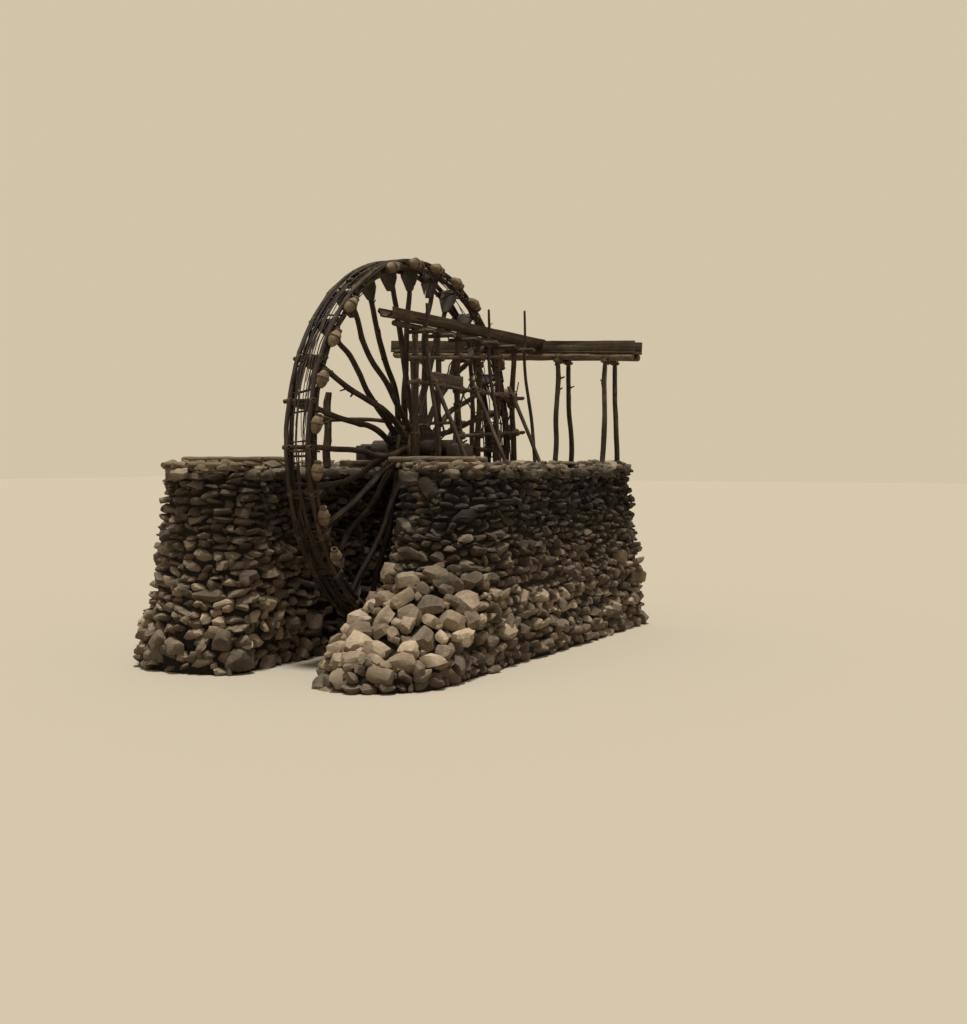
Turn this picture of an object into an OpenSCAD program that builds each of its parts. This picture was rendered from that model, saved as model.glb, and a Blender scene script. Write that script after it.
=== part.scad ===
// River water wheel that lifts water in clay jars.
// A wheel of crooked poles turns on a log axle between two dry stone piers.
// Its jars pour into a hollow log, which leads into a plank flume behind it.
// Frame: X along the race (the stream runs towards -X), Y along the axle, Z up.
// The origin is on the stream bed, straight below the middle of the axle.

/* [Wheel] */
// Radius of the ring on which the cross stakes stand
stake_ring_r = 3015; // [2900:5:3040]
// Height of that ring's lowest point over the stream bed
bed_room = 235; // [200:5:300]
// Number of spokes, paddles and cross stakes
spoke_count = 28; // [20:4:28]
// Distance between the middles of the near and far hoops
wheel_w = 400; // [340:10:440]
// Radius of the bent poles of the hoops
hoop_pole_r = 28; // [20:1:32]
// Radius of a cross stake
stake_r = 28; // [20:1:32]
// How far a cross stake stands out past the far hoop
stake_far_out = 110; // [60:5:130]
// How far a cross stake stands out past the near hoop
stake_near_out = 55; // [40:5:70]
// Radius of a spoke at its foot
spoke_foot_r = 52; // [40:1:56]
// Radius of a spoke at its tip
spoke_tip_r = 40; // [30:1:46]
// Largest sideways bend of a crooked spoke
spoke_bend = 95; // [0:5:120]

/* [Hub and axle] */
// Radius of the hub
hub_r = 400; // [360:10:460]
// Length of the hub along the axle
hub_w = 500; // [440:10:560]
// Distance between the two planes of spoke feet
foot_plane_w = 260; // [220:10:300]
// Depth of a spoke's socket in the hub
socket_depth = 70; // [40:5:100]
// Radius of the log axle
axle_r = 150; // [120:5:180]
// Radius of the journals that turn in the bearings
journal_r = 90; // [70:5:110]

/* [Paddles] */
// Depth of a paddle board along its spoke
paddle_h = 460; // [300:10:520]
// Thickness of a paddle board
paddle_t = 30; // [20:1:40]

/* [Jars] */
// Length of a jar
jar_len = 290; // [220:5:320]
// Largest radius of a jar
jar_r = 86; // [70:1:92]
// Wall of a jar
jar_wall = 10; // [7:1:14]
// Turn of a jar's mouth towards the trough, in degrees
jar_yaw = 10; // [0:1:14]

/* [Piers] */
// Height of the axle's centre over the piers' tops
axle_rise = 300; // [280:10:340]
// Distance from the wheel's middle to the right pier's race face
race_right = 560; // [520:10:640]
// Distance from the wheel's middle to the left pier's race face
race_left = 470; // [440:10:560]
// Reach of the piers' outer faces at the foot
pier_reach = 2650; // [2500:10:2900]
// Reach of the piers past the flume's middle, up the stream
pier_past = 690; // [600:10:900]
// Reach of the piers' toes past the ring of stakes, down the stream
toe_past = 1235; // [1000:5:1500]
// How far the left pier's toe spreads from its top to its foot
left_spread = 450; // [200:10:1200]
// How far the right pier's toe spreads from its top to its foot
right_spread = 2350; // [2000:10:2450]
// Length of the left pier's rounded nose
left_nose = 650; // [500:10:800]
// Length of the right pier's rounded nose
right_nose = 1250; // [1000:10:1400]
// Batter of the outer faces from foot to top
pier_batter = 350; // [150:10:500]
// How far a pier's faces lie in between their proudest stones
pier_rough = 80; // [30:5:110]
// The same between the boulders of the toe
toe_rough = 190; // [80:5:240]

/* [Bearings] */
// Height of a bearing sill
sill_h = 110; // [90:5:125]
// Width of a bearing sill
sill_w = 260; // [220:5:280]
// Length of a bearing sill
sill_len = 1400; // [1200:50:1450]
// Width of a bearing block along the axle
block_w = 200; // [140:5:220]
// Length of a bearing block across the axle
block_len = 520; // [420:10:600]
// Distance from a race face to the middle of its bearing
bearing_in = 370; // [350:5:450]
// Running gap round a journal
journal_gap = 2; // [1:0.5:3]

/* [Trough] */
// Height of the trough's near top edge over the axle's centre
trough_rise = 2130; // [2090:5:2170]
// Width of the trough
trough_w = 300; // [240:5:320]
// Depth of the trough
trough_d = 170; // [140:5:200]
// Wall of the trough
trough_wall = 38; // [25:1:50]
// Reach of the trough down the stream from the axle
trough_near_x = 1740; // [1500:10:2000]
// Fall of the trough along its length
trough_fall = 50; // [30:5:70]
// Distance from the race face of the right pier to the middle of the trough
trough_off = 70; // [60:5:110]
// Number of posts under the trough
post_count = 6; // [4:1:6]
// Distance between the posts
post_pitch = 670; // [600:10:680]
// Radius of the posts
post_r = 50; // [40:1:60]
// Radius of the rails, bearers and props
rail_r = 34; // [26:1:40]
// How far the upper rail lies below the trough's near end
upper_rail_drop = 660; // [600:10:740]
// How far the mid rail lies below the trough's near end
mid_rail_drop = 1130; // [1050:10:1250]
// Height of the lower rail over the piers' tops
lower_rail_rise = 520; // [490:10:600]

/* [Flume] */
// Distance from the ring of stakes to the middle of the flume
flume_off = 545; // [480:5:700]
// Inner width of the flume
flume_w = 320; // [260:10:380]
// Height of the flume's side boards
flume_side_h = 190; // [160:5:220]
// Thickness of the flume's boards
board_t = 40; // [30:1:50]
// How far the flume's top edge lies below the trough's near end
flume_drop = 70; // [40:5:90]
// Fall of the flume for each metre of its length
flume_fall = 48; // [20:1:60]
// Radius of the poles under the flume
beam_r = 60; // [50:1:75]

/* [Hidden] */

$fn = 64;
seat = 0.3;
sides = 8;
wood_dark = "#4a3a2c";
wood_mid = "#6b5743";
wood_pale = "#9a866a";
stone_mid = "#8f8270";
clay = "#b5825a";

axle_z = stake_ring_r + bed_room;
pier_h = axle_z - axle_rise;
trough_top_z = axle_z + trough_rise;
flume_top_z = trough_top_z - flume_drop;
flume_x = stake_ring_r + flume_off;
pier_back = flume_x + pier_past;
pier_toe = stake_ring_r + toe_past;
left_tip = pier_toe - left_spread;
right_tip = pier_toe - right_spread;
pitch = 360 / spoke_count;
rim_nodes = 7;
rim_y = wheel_w / 2;
outer_hoop_r = stake_ring_r + stake_r + hoop_pole_r + seat;
inner_hoop_r = stake_ring_r - stake_r - hoop_pole_r - seat;
wheel_r = outer_hoop_r + hoop_pole_r;
spoke_tip_at = stake_ring_r - stake_r - seat;
paddle_top = outer_hoop_r;
foot_at = hub_r - socket_depth;
right_bearing_y = -(race_right + bearing_in);
left_bearing_y = race_left + bearing_in;
trough_y = -(race_right + trough_off);
post_y = trough_y - 40;
post_x0 = -940;
trough_far_x = flume_x - 60;
trough_len = trough_near_x + trough_far_x;
trough_tilt = atan(trough_fall / trough_len);
flume_tilt = atan(flume_fall / 1000);
flume_half = pier_reach - 30;

// Vectors and paths

function lerp(a, b, t) = a + (b - a) * t;
function unit(v) = v / norm(v);

// A wandering line from a to b: three waves of chosen random size
function crooked(a, b, parts, bend, seed) =
    let (d = unit(b - a),
         ref = abs(d.z) > 0.7 ? [1, 0, 0] : [0, 0, 1],
         e1 = unit(cross(d, ref)),
         e2 = cross(d, e1),
         s = rands(-1, 1, 6, seed))
    [for (i = [0:parts])
        let (t = i / parts,
             w1 = s[0] * sin(180 * t) + 0.6 * s[1] * sin(360 * t) + 0.4 * s[2] * sin(540 * t),
             w2 = s[3] * sin(180 * t) + 0.6 * s[4] * sin(360 * t) + 0.4 * s[5] * sin(540 * t))
        lerp(a, b, t) + bend * (w1 * e1 + w2 * e2)];

// The same line, wandering only in a level plane
function level_crooked(a, b, parts, bend, seed) =
    [for (p = crooked(a, b, parts, bend, seed)) [p.x, p.y, lerp(a.z, b.z, norm(p - a) / norm(b - a))]];

function tangent(pts, i) =
    i == 0 ? unit(pts[1] - pts[0])
    : i == len(pts) - 1 ? unit(pts[i] - pts[i - 1])
    : unit(unit(pts[i + 1] - pts[i]) + unit(pts[i] - pts[i - 1]));

function ring(p, n, ref, r) =
    let (u = unit(cross(n, ref)), v = cross(n, u))
    [for (k = [0:sides - 1]) p + r * (cos(360 * k / sides) * u + sin(360 * k / sides) * v)];

function side_faces(rings, k) =
    [for (i = [0:rings - 2], j = [0:k - 1])
        let (a = i * k + j, b = i * k + (j + 1) % k, c = b + k, d = a + k)
        each [[a, d, c], [a, c, b]]];

// The point of a rising line at height z
function at_height(l, z) =
    let (n = len(l) - 1,
         k = max([for (j = [0:n - 1]) l[j].z <= z ? j : 0]),
         t = (z - l[k].z) / (l[k + 1].z - l[k].z))
    lerp(l[k], l[k + 1], t);

// The share of a rising line that lies below height z
function share_below(l, z) = (z - l[0].z) / (l[len(l) - 1].z - l[0].z);

// A round pole along a path, tapering from r0 to r1.
// level_ends cuts both ends level, as a post that stands on a flat bed.
module pole(pts, r0, r1, level_ends = false) {
    last = len(pts) - 1;
    d = unit(pts[last] - pts[0]);
    ref = abs(d.z) > 0.7 ? [1, 0, 0] : [0, 0, 1];
    up = [0, 0, sign(d.z)];
    rings = [for (i = [0:last])
        each ring(pts[i],
            level_ends && (i == 0 || i == last) ? up : tangent(pts, i),
            ref, lerp(r0, r1, i / last))];
    polyhedron(
        points = rings,
        faces = concat(
            side_faces(last + 1, sides),
            [[for (k = [0:sides - 1]) k]],
            [[for (k = [sides - 1:-1:0]) last * sides + k]]),
        convexity = 4);
}

// Piers

// Plan of a pier on the +Y side at one level, counter-clockwise
function pier_plan(toe, back, y_in, y_out, nose, nose_rough, seed) =
    let (runs = 14,
         ends = 4,
         turns = 10,
         bumps = rands(-1, 1, 2 * runs + ends + turns + 2, seed),
         mid = (y_in + y_out) / 2,
         half = (y_out - y_in) / 2,
         x0 = nose - toe)
    concat(
        [for (i = [0:runs - 1]) [lerp(x0, back, i / runs), y_in + abs(bumps[i]) * pier_rough]],
        [for (i = [0:ends])
            [back - abs(bumps[runs + i]) * pier_rough, lerp(y_in + 30, y_out - 60, i / ends)]],
        [for (i = [1:runs])
            [lerp(back, x0, i / runs), y_out - (1 + bumps[runs + ends + i]) / 2 * pier_rough]],
        [for (i = [1:turns - 1])
            let (a = 90 + 180 * i / turns,
                 b = bumps[2 * runs + ends + i],
                 k = 1 - (1 + b) / 2 * nose_rough / nose)
            [x0 + nose * k * cos(a), mid + half * sin(a) * (1 + 0.04 * b)]]);

// Share of the pier's height at each ring: a bench of boulders at the foot, then the courses
pier_levels = [0, 0.065, 0.14, 0.165, 0.24, 0.32, 0.41, 0.5, 0.59, 0.68, 0.77, 0.86, 0.94, 1];
// Share of the spread by which the nose lies back at each ring: a slope of fallen stones, then the wall
toe_back = [0, 0.02, 0.1, 0.21, 0.38, 0.55, 0.7, 0.787, 0.838, 0.872, 0.906, 0.936, 0.966, 1];

// Dry stone pier: a vertical race face, a battered back and a spreading toe
module rubble_pier(race, nose, spread, seed) {
    rings = [for (i = [0:len(pier_levels) - 1])
        let (t = pier_levels[i])
        [for (p = pier_plan(pier_toe - spread * toe_back[i], pier_back - 0.3 * pier_batter * t, race,
                pier_reach - pier_batter * t, nose, i < 3 ? toe_rough : pier_rough, seed + i))
            [p.x, p.y, pier_h * t]]];
    k = len(rings[0]);
    n = len(rings);
    mid_y = (race + pier_reach) / 2;
    points = concat([for (r = rings) each r], [[0, mid_y, 0], [0, mid_y, pier_h]]);
    polyhedron(
        points = points,
        faces = concat(
            side_faces(n, k),
            [for (j = [0:k - 1]) [n * k, j, (j + 1) % k]],
            [for (j = [0:k - 1]) [n * k + 1, (n - 1) * k + (j + 1) % k, (n - 1) * k + j]]),
        convexity = 6);
}

module left_pier() {
    color(stone_mid) rubble_pier(race_left, left_nose, left_spread, 11);
}

module right_pier() {
    color(stone_mid) mirror([0, 1, 0]) rubble_pier(race_right, right_nose, right_spread, 31);
}

// Poles laid on a pier's top, from the edge of its nose back to far_x
module lacing(race, tip, nose, far_x, seed) {
    r = 42;
    rows = 5;
    z = pier_h + r + seat;
    y_out = pier_reach - pier_batter;
    mid = (race + y_out) / 2;
    half = (y_out - race) / 2;
    for (i = [0:rows - 1]) {
        y = lerp(race + 250, y_out - 330, i / (rows - 1));
        jut = rands(0, 1, 2, seed + i);
        edge = tip - nose * (1 - sqrt(1 - pow((y - mid) / half, 2)));
        pole(level_crooked([-edge - 50 - 100 * jut[0], y, z], [-far_x - 120 * jut[1], y, z], 6, 35, seed + i),
            r, r);
    }
    for (i = [0:1]) {
        x = -lerp(tip, far_x, 0.35 + 0.35 * i);
        zz = z + 2 * r + seat;
        pole(level_crooked([x, race + 60, zz], [x + 60, y_out - 180, zz], 6, 30, seed + 9 + i), r, r);
    }
}

module left_lacing() {
    color(wood_pale) lacing(race_left, left_tip, left_nose, left_tip - 1700, 41);
}

module right_lacing() {
    color(wood_pale) mirror([0, 1, 0]) lacing(race_right, right_tip, right_nose, -post_x0 + post_r + 60, 52);
}

// Bearings

module bearing_sill() {
    translate([-sill_len / 2, -sill_w / 2, pier_h])
        cube([sill_len, sill_w, sill_h]);
}

// A block with a notch, open above, on whose bottom the journal turns
module bearing_block() {
    bore_r = journal_r + journal_gap;
    bore_z = axle_z + journal_gap - seat;
    base_z = pier_h + sill_h;
    difference() {
        translate([-block_len / 2, -block_w / 2, base_z])
            cube([block_len, block_w, axle_z + 60 - base_z]);
        translate([0, 0, bore_z])
            rotate([90, 0, 0])
                cylinder(r = bore_r, h = block_w + 2, center = true);
        translate([-bore_r, -block_w / 2 - 1, bore_z])
            cube([2 * bore_r, block_w + 2, 200]);
    }
}

module left_sill() {
    color(wood_mid) translate([0, left_bearing_y, 0]) bearing_sill();
}

module right_sill() {
    color(wood_mid) translate([0, right_bearing_y, 0]) bearing_sill();
}

module left_bearing() {
    color(wood_dark) translate([0, left_bearing_y, 0]) bearing_block();
}

module right_bearing() {
    color(wood_dark) translate([0, right_bearing_y, 0]) bearing_block();
}

// Trough

// Points of a half round log section with a rounded channel, level on top
function trough_section() =
    let (w = trough_w / 2, d = trough_d, n = 10,
         wi = w - trough_wall, di = d - trough_wall)
    concat(
        [[-w, 0]],
        [for (i = [0:n]) let (a = 180 + 180 * i / n) [w * cos(a), 0.35 * -d + 0.65 * d * sin(a)]],
        [[w, 0], [wi, 0]],
        [for (i = [0:n]) let (a = -180 * i / n) [wi * cos(a), -0.3 * di + 0.7 * di * sin(a)]],
        [[-wi, 0]]);

// Puts what is drawn along X from the trough's near end at its top into place
module along_trough() {
    translate([-trough_near_x, trough_y, trough_top_z])
        rotate([0, trough_tilt, 0])
            children();
}

module trough() {
    color(wood_pale)
        along_trough()
            rotate([90, 0, 90])
                linear_extrude(height = trough_len)
                    polygon(trough_section());
}

function trough_under_z(x) = trough_top_z - trough_fall * (x + trough_near_x) / trough_len - trough_d;
trough_beam_r = 48;
function beam_mid_z(x) = trough_under_z(x) - trough_beam_r - seat;
trough_beam_x0 = -trough_near_x + 260;
trough_beam_x1 = flume_x - flume_w / 2 - board_t - 30;

// The pole under the trough
module trough_beam() {
    color(wood_mid)
        pole([for (i = [0:6])
            let (x = lerp(trough_beam_x0, trough_beam_x1, i / 6), bend = 14 * sin(70 * i))
            [x, trough_y + bend, beam_mid_z(x)]],
            trough_beam_r, trough_beam_r);
}

function post_x(i) = post_x0 + post_pitch * i;
function bearer_z(i) = beam_mid_z(post_x(i)) - trough_beam_r - rail_r - seat;
function post_top_z(i) = bearer_z(i) - rail_r - seat;

// Short cross poles on the post tops
module trough_bearers() {
    color(wood_dark)
        for (i = [0:post_count - 1]) {
            jut = rands(0, 1, 2, 300 + i);
            pole([[post_x(i), trough_y + 120 + 30 * jut[0], bearer_z(i)],
                [post_x(i), post_y, bearer_z(i)],
                [post_x(i) + 12, trough_y - 330 - 120 * jut[1], bearer_z(i)]],
                rail_r, rail_r);
        }
}

// Centre line of post i: from the pier's top to below its bearer
function post_line(i) =
    crooked([post_x(i), post_y, pier_h + seat], [post_x(i), post_y, post_top_z(i)], 6, 26, 500 + i);

post_r0 = post_r * 1.1;
post_r1 = post_r * 0.9;
function post_at(i, z) = at_height(post_line(i), z);
function post_r_at(i, z) = lerp(post_r0, post_r1, share_below(post_line(i), z));

module trough_posts() {
    color(wood_dark)
        for (i = [0:post_count - 1])
            pole(post_line(i), post_r0, post_r1, true);
}

// A rail of radius r lashed to the outer side of the posts, from post a to post b.
// It starts early before post a.
function rail_line(a, b, za, zb, r, early = 280) =
    let (inner = [for (i = [a:b])
            let (z = lerp(za, zb, (i - a) / (b - a)), p = post_at(i, z))
            [p.x, p.y - post_r_at(i, z) - r - seat, z]],
         first = inner[0], last = inner[len(inner) - 1])
    concat([first + [-early, 25, -15]], inner, [last + [240, -20, 10]]);

upper_rail_z = trough_top_z - upper_rail_drop;
mid_rail_z = trough_top_z - mid_rail_drop;
lower_rail_z = pier_h + lower_rail_rise;
mid_rail_line = rail_line(0, post_count - 1, mid_rail_z + 30, mid_rail_z - 70, rail_r);

module upper_rail() {
    r = rail_r * 0.8;
    color(wood_mid) pole(rail_line(0, post_count - 2, upper_rail_z - 60, upper_rail_z + 150, r), r, r);
}

module mid_rail() {
    color(wood_mid) pole(mid_rail_line, rail_r, rail_r);
}

module lower_rail() {
    r = rail_r * 0.9;
    color(wood_mid) pole(rail_line(2, post_count - 1, lower_rail_z, lower_rail_z + 90, r, axle_r), r, r);
}

// Props that rake from the pier's top against the outer side of the mid rail
module trough_props() {
    lean = 24;
    color(wood_mid)
        for (i = [0:2]) {
            p = lerp(mid_rail_line[2 * i + 1], mid_rail_line[2 * i + 2], 0.5);
            gap = 2 * rail_r + seat;
            c = p + gap * [0, -cos(lean), sin(lean)];
            foot = [c.x + 40, c.y - (c.z - pier_h) * tan(lean), pier_h + seat];
            head = c + 170 * [0, sin(lean), cos(lean)];
            pole([foot, lerp(foot, c, 0.5) + [18, 0, 0], c, head], rail_r, rail_r, true);
        }
}

// Tall crooked stays outside the trough, lashed to the ends of the bearers
module trough_stays() {
    color(wood_dark)
        for (i = [0:2]) {
            k = [0, 3, 5][i];
            y = trough_y - trough_w / 2 - 62;
            top = trough_top_z + 130 + 120 * i;
            x = post_x(k) + rail_r + 34;
            z = bearer_z(k);
            pole([[x + 90, y - 180, pier_h + seat], [x + 40, y - 130, lerp(pier_h, z, 0.4)],
                [x + 16, y - 20, lerp(pier_h, z, 0.75)], [x, y, z], [x + 14, y - 8, z + 170],
                [x - 30, y - 20, top]], 34, 20, true);
        }
}

// Flume

// Puts what is drawn along Y under the flume's top edge into place, with its fall
module along_flume() {
    translate([flume_x, 0, flume_top_z - trough_y * flume_fall / 1000])
        rotate([flume_tilt, 0, 0])
            children();
}

module flume_floor() {
    color(wood_mid)
        along_flume()
            translate([-flume_w / 2 - board_t, -flume_half, -flume_side_h - board_t])
                cube([flume_w + 2 * board_t, 2 * flume_half, board_t]);
}

// Side boards; the trough's end comes in through a notch in one of them
module flume_sides() {
    clear = 6;
    color(wood_pale)
        difference() {
            along_flume() {
                for (s = [-1, 1])
                    translate([s * (flume_w + board_t) / 2 - board_t / 2, -flume_half, -flume_side_h])
                        cube([board_t, 2 * flume_half, flume_side_h]);
            }
            translate([flume_x - flume_w / 2 - 2 * board_t, trough_y - trough_w / 2 - clear,
                trough_under_z(trough_far_x) - clear])
                cube([2.5 * board_t, trough_w + 2 * clear, trough_d * 2]);
        }
}

flume_beam_x = 150;

// Two poles under the flume's floor
module flume_beams() {
    color(wood_pale)
        along_flume()
            for (s = [-1, 1])
                pole([for (i = [0:8])
                    [s * flume_beam_x + 10 * sin(100 * i), lerp(-flume_half + 40, flume_half - 60, i / 8),
                        -flume_side_h - board_t - beam_r - seat]],
                    beam_r, beam_r);
}

trestle_y = [-2080, -1130, 1010, 2080];
bearer_half = 370;

// Cross poles under the beams, one for each trestle
module flume_bearers() {
    color(wood_dark)
        along_flume()
            for (y = trestle_y)
                pole([for (s = [-1:1]) [s * bearer_half, y, -bearer_drop]], rail_r, rail_r);
}

bearer_drop = flume_side_h + board_t + 2 * beam_r + rail_r + 2 * seat;
function trestle_seed(i) = 640 + 5 * i;
trestle_foot_x = 330;
trestle_head_x = 230;

// Where a point below the flume's top edge lies in the frame
function flume_point(x, y, z) =
    [flume_x + x, y * cos(flume_tilt) - z * sin(flume_tilt),
        flume_top_z - trough_y * flume_fall / 1000 + y * sin(flume_tilt) + z * cos(flume_tilt)];

// Centre line of a trestle's post: s is -1 for the one nearer the wheel
function trestle_line(y, s, seed) =
    let (head = flume_point(s * trestle_head_x, y, -bearer_drop) - [0, 0, rail_r + seat])
    crooked([flume_x + s * trestle_foot_x, head.y - 10 * s, pier_h + seat], head, 6, 30, seed + s);

// Two posts of a trestle
module trestle(y, seed) {
    for (s = [-1, 1])
        pole(trestle_line(y, s, seed), post_r, post_r * 0.85, true);
}

module left_flume_posts() {
    color(wood_dark)
        for (i = [2, 3])
            trestle(trestle_y[i], trestle_seed(i));
}

module right_flume_posts() {
    color(wood_dark)
        for (i = [0, 1])
            trestle(trestle_y[i], trestle_seed(i));
}

// The stout post on the left pier and the rail that ties it to the flume's trestle
left_post_h = 1200;
left_post_x = -left_tip + 2490;
left_post_line = crooked([left_post_x - 20, race_left + 280, pier_h + seat],
    [left_post_x + 20, race_left + 270, pier_h + left_post_h], 5, 25, 901);
left_post_r0 = 66;
left_post_r1 = 54;
left_rail_r = 35;

module left_pier_post() {
    color(wood_dark)
        pole(left_post_line, left_post_r0, left_post_r1, true);
}

module left_pier_rail() {
    z0 = pier_h + left_post_h * 0.63;
    z1 = z0 + 90;
    post = at_height(left_post_line, z0);
    a = post + [0, lerp(left_post_r0, left_post_r1, share_below(left_post_line, z0)) + left_rail_r + seat, 0];
    far = trestle_line(trestle_y[2], -1, trestle_seed(2));
    leg_r = lerp(post_r, post_r * 0.85, share_below(far, z1));
    b = at_height(far, z1) - [0, leg_r + left_rail_r + seat, 0];
    color(wood_mid)
        pole([a + [-260, 40, -30], a, lerp(a, b, 0.3) + [0, 40, 20], lerp(a, b, 0.65) + [0, -30, -25], b,
            b + [190, 0, 0]], left_rail_r, left_rail_r);
}

// Wheel

// Puts what is drawn with X outwards, Y along the axle and Z round the rim at an angle
module at_angle(a) {
    translate([0, 0, axle_z])
        rotate([0, -a, 0])
            children();
}

module along_axle(y, r, h) {
    translate([0, y, axle_z])
        rotate([-90, 0, 0])
            cylinder(r = r, h = h);
}

module axle() {
    shoulder_r = right_bearing_y + block_w / 2 + 25;
    shoulder_l = left_bearing_y - block_w / 2 - 25;
    journal_out = block_w + 75;
    color(wood_dark)
        union() {
            along_axle(shoulder_r, axle_r, -hub_w / 2 - seat - shoulder_r);
            along_axle(-hub_w / 2 - 1, axle_r * 0.8, hub_w + 2);
            along_axle(hub_w / 2 + seat, axle_r, shoulder_l - hub_w / 2 - seat);
            along_axle(shoulder_r - journal_out, journal_r, journal_out + 1);
            along_axle(shoulder_l - 1, journal_r, journal_out + 1);
        }
}

module hub() {
    color(wood_dark)
        difference() {
            along_axle(-hub_w / 2, hub_r, hub_w);
            along_axle(-hub_w / 2 - 2, axle_r * 0.8 + seat, hub_w + 4);
            for (k = [0:spoke_count - 1])
                at_angle(k * pitch)
                    translate([foot_at - 3, foot_y(k), 0])
                        rotate([0, 90, 0])
                            cylinder(r = spoke_foot_r + seat, h = socket_depth + 40);
        }
}

function foot_y(k) = (k % 2 == 0 ? -1 : 1) * foot_plane_w / 2;

// Centre line of spoke k: straight in its socket and behind its paddle
function spoke_line(k) =
    let (s = rands(-1, 1, 3, 1200 + k),
         inner = hub_r + 40,
         outer = paddle_top - paddle_h - 40,
         y0 = foot_y(k),
         y1 = 0.25 * y0,
         n = 6)
    concat(
        [[foot_at, y0, 0]],
        [for (i = [0:n])
            let (t = i / n,
                 q = s[0] * sin(180 * t) + 0.7 * s[1] * sin(360 * t) + 0.4 * s[2] * sin(540 * t))
            [lerp(inner, outer, t), lerp(y0, y1, t), spoke_bend * q]],
        [[spoke_tip_at, y1, 0]]);

function spoke_r_at(x) = lerp(spoke_foot_r, spoke_tip_r, max(0, (x - hub_r) / (spoke_tip_at - hub_r)));

module spoke(k) {
    pts = spoke_line(k);
    last = len(pts) - 1;
    rings = [for (i = [0:last])
        each ring(pts[i], i == 0 || i == last ? [1, 0, 0] : tangent(pts, i), [0, 1, 0], spoke_r_at(pts[i].x))];
    at_angle(k * pitch)
        polyhedron(
            points = rings,
            faces = concat(
                side_faces(last + 1, sides),
                [[for (j = [0:sides - 1]) j]],
                [[for (j = [sides - 1:-1:0]) last * sides + j]]),
            convexity = 4);
}

module near_spokes() {
    color(wood_dark)
        for (k = [0:2:spoke_count - 1])
            spoke(k);
}

module far_spokes() {
    color(wood_dark)
        for (k = [1:2:spoke_count - 1])
            spoke(k);
}

// One bent pole of a hoop, over the angle from a to b
module hoop_arc(r, y, a, b) {
    half_gap = 0.004;
    translate([0, y, axle_z])
        rotate([90, 0, 0])
            rotate([0, 0, a + half_gap])
                rotate_extrude(angle = b - a - 2 * half_gap, $fn = 20 * rim_nodes)
                    translate([r, 0])
                        circle(r = hoop_pole_r, $fn = 32);
}

// One share of the rim: an outer and an inner hoop pole on each side
module rim(n) {
    share = 360 / rim_nodes;
    a = n * share;
    color(wood_mid)
        for (y = [-rim_y, rim_y], r = [outer_hoop_r, inner_hoop_r])
            hoop_arc(r, y, a, a + share);
}

module rim_1() { rim(0); }
module rim_2() { rim(1); }
module rim_3() { rim(2); }
module rim_4() { rim(3); }
module rim_5() { rim(4); }
module rim_6() { rim(5); }
module rim_7() { rim(6); }

module cross_stakes() {
    y0 = -rim_y - stake_near_out;
    color(wood_mid)
        for (k = [0:spoke_count - 1]) {
            jut = rands(-1, 1, 1, 1500 + k);
            at_angle(k * pitch)
                translate([stake_ring_r, y0, 0])
                    rotate([-90, 0, 0])
                        cylinder(r = stake_r, h = rim_y + stake_far_out + 20 * jut[0] - y0, $fn = 32);
        }
}

// Outline of a paddle: X outwards, Y along the axle, full width at the rim and narrow at its foot
function paddle_outline() =
    let (top = paddle_top, w = rim_y - hoop_pole_r - 8)
    [[top, -w], [top, w], [top - paddle_h * 0.45, w], [top - paddle_h, w * 0.3],
        [top - paddle_h, -w * 0.42], [top - paddle_h * 0.55, -w]];

module paddles() {
    color(wood_dark)
        for (k = [0:spoke_count - 1])
            at_angle(k * pitch)
                translate([0, 0, spoke_r_at(paddle_top - paddle_h) + seat])
                    linear_extrude(height = paddle_t)
                        polygon(paddle_outline());
}

// Half section of a jar along Z, foot at 0 and mouth at the top
jar_profile = [[0, 0], [0.38, 0], [0.62, 0.07], [0.86, 0.22], [0.98, 0.4], [1, 0.5],
    [0.95, 0.64], [0.78, 0.78], [0.56, 0.86], [0.5, 0.93], [0.6, 1]];

module jar() {
    outer = [for (p = jar_profile) [p.x * jar_r, p.y * jar_len]];
    last = len(outer) - 1;
    inner = [for (i = [last:-1:1])
        [max(outer[i].x - jar_wall, 1), max(outer[i].y, i == last ? jar_len : jar_wall)]];
    rotate_extrude($fn = 48)
        polygon(concat(outer, inner, [[0, jar_wall]]));
}

// How far a jar's middle lies off the hoops' plane, so that its side rests on both hoop poles
hoop_half_gap = stake_r + hoop_pole_r + seat;
jar_off = max([for (p = jar_profile, phi = [0:3:87])
    let (reach = hoop_pole_r + seat, side = p.x * jar_r * sin(phi) - hoop_half_gap)
    abs(side) < reach
        ? (0.5 - p.y) * jar_len * sin(jar_yaw) + p.x * jar_r * cos(phi) * cos(jar_yaw)
            + sqrt(reach * reach - side * side)
        : 0]);

missing_jars = [3, 9, 17, 24];

// Jars on the near hoops, mouths leading in the way that the wheel turns
module jars() {
    y = -rim_y - jar_off;
    color(clay)
        for (k = [0:spoke_count - 1])
            if (len(search(k, missing_jars)) == 0)
                at_angle((k + 0.5) * pitch)
                    translate([stake_ring_r, y, 0])
                        rotate([180 - jar_yaw, 0, 0])
                            translate([0, 0, -jar_len / 2])
                                jar();
}

left_pier();
right_pier();
left_lacing();
right_lacing();
left_sill();
right_sill();
left_bearing();
right_bearing();
trough();
trough_beam();
trough_bearers();
trough_posts();
trough_props();
upper_rail();
mid_rail();
lower_rail();
trough_stays();
flume_floor();
flume_sides();
flume_beams();
flume_bearers();
left_flume_posts();
right_flume_posts();
left_pier_post();
left_pier_rail();
axle();
hub();
near_spokes();
far_spokes();
rim_1();
rim_2();
rim_3();
rim_4();
rim_5();
rim_6();
rim_7();
cross_stakes();
paddles();
jars();
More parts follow.
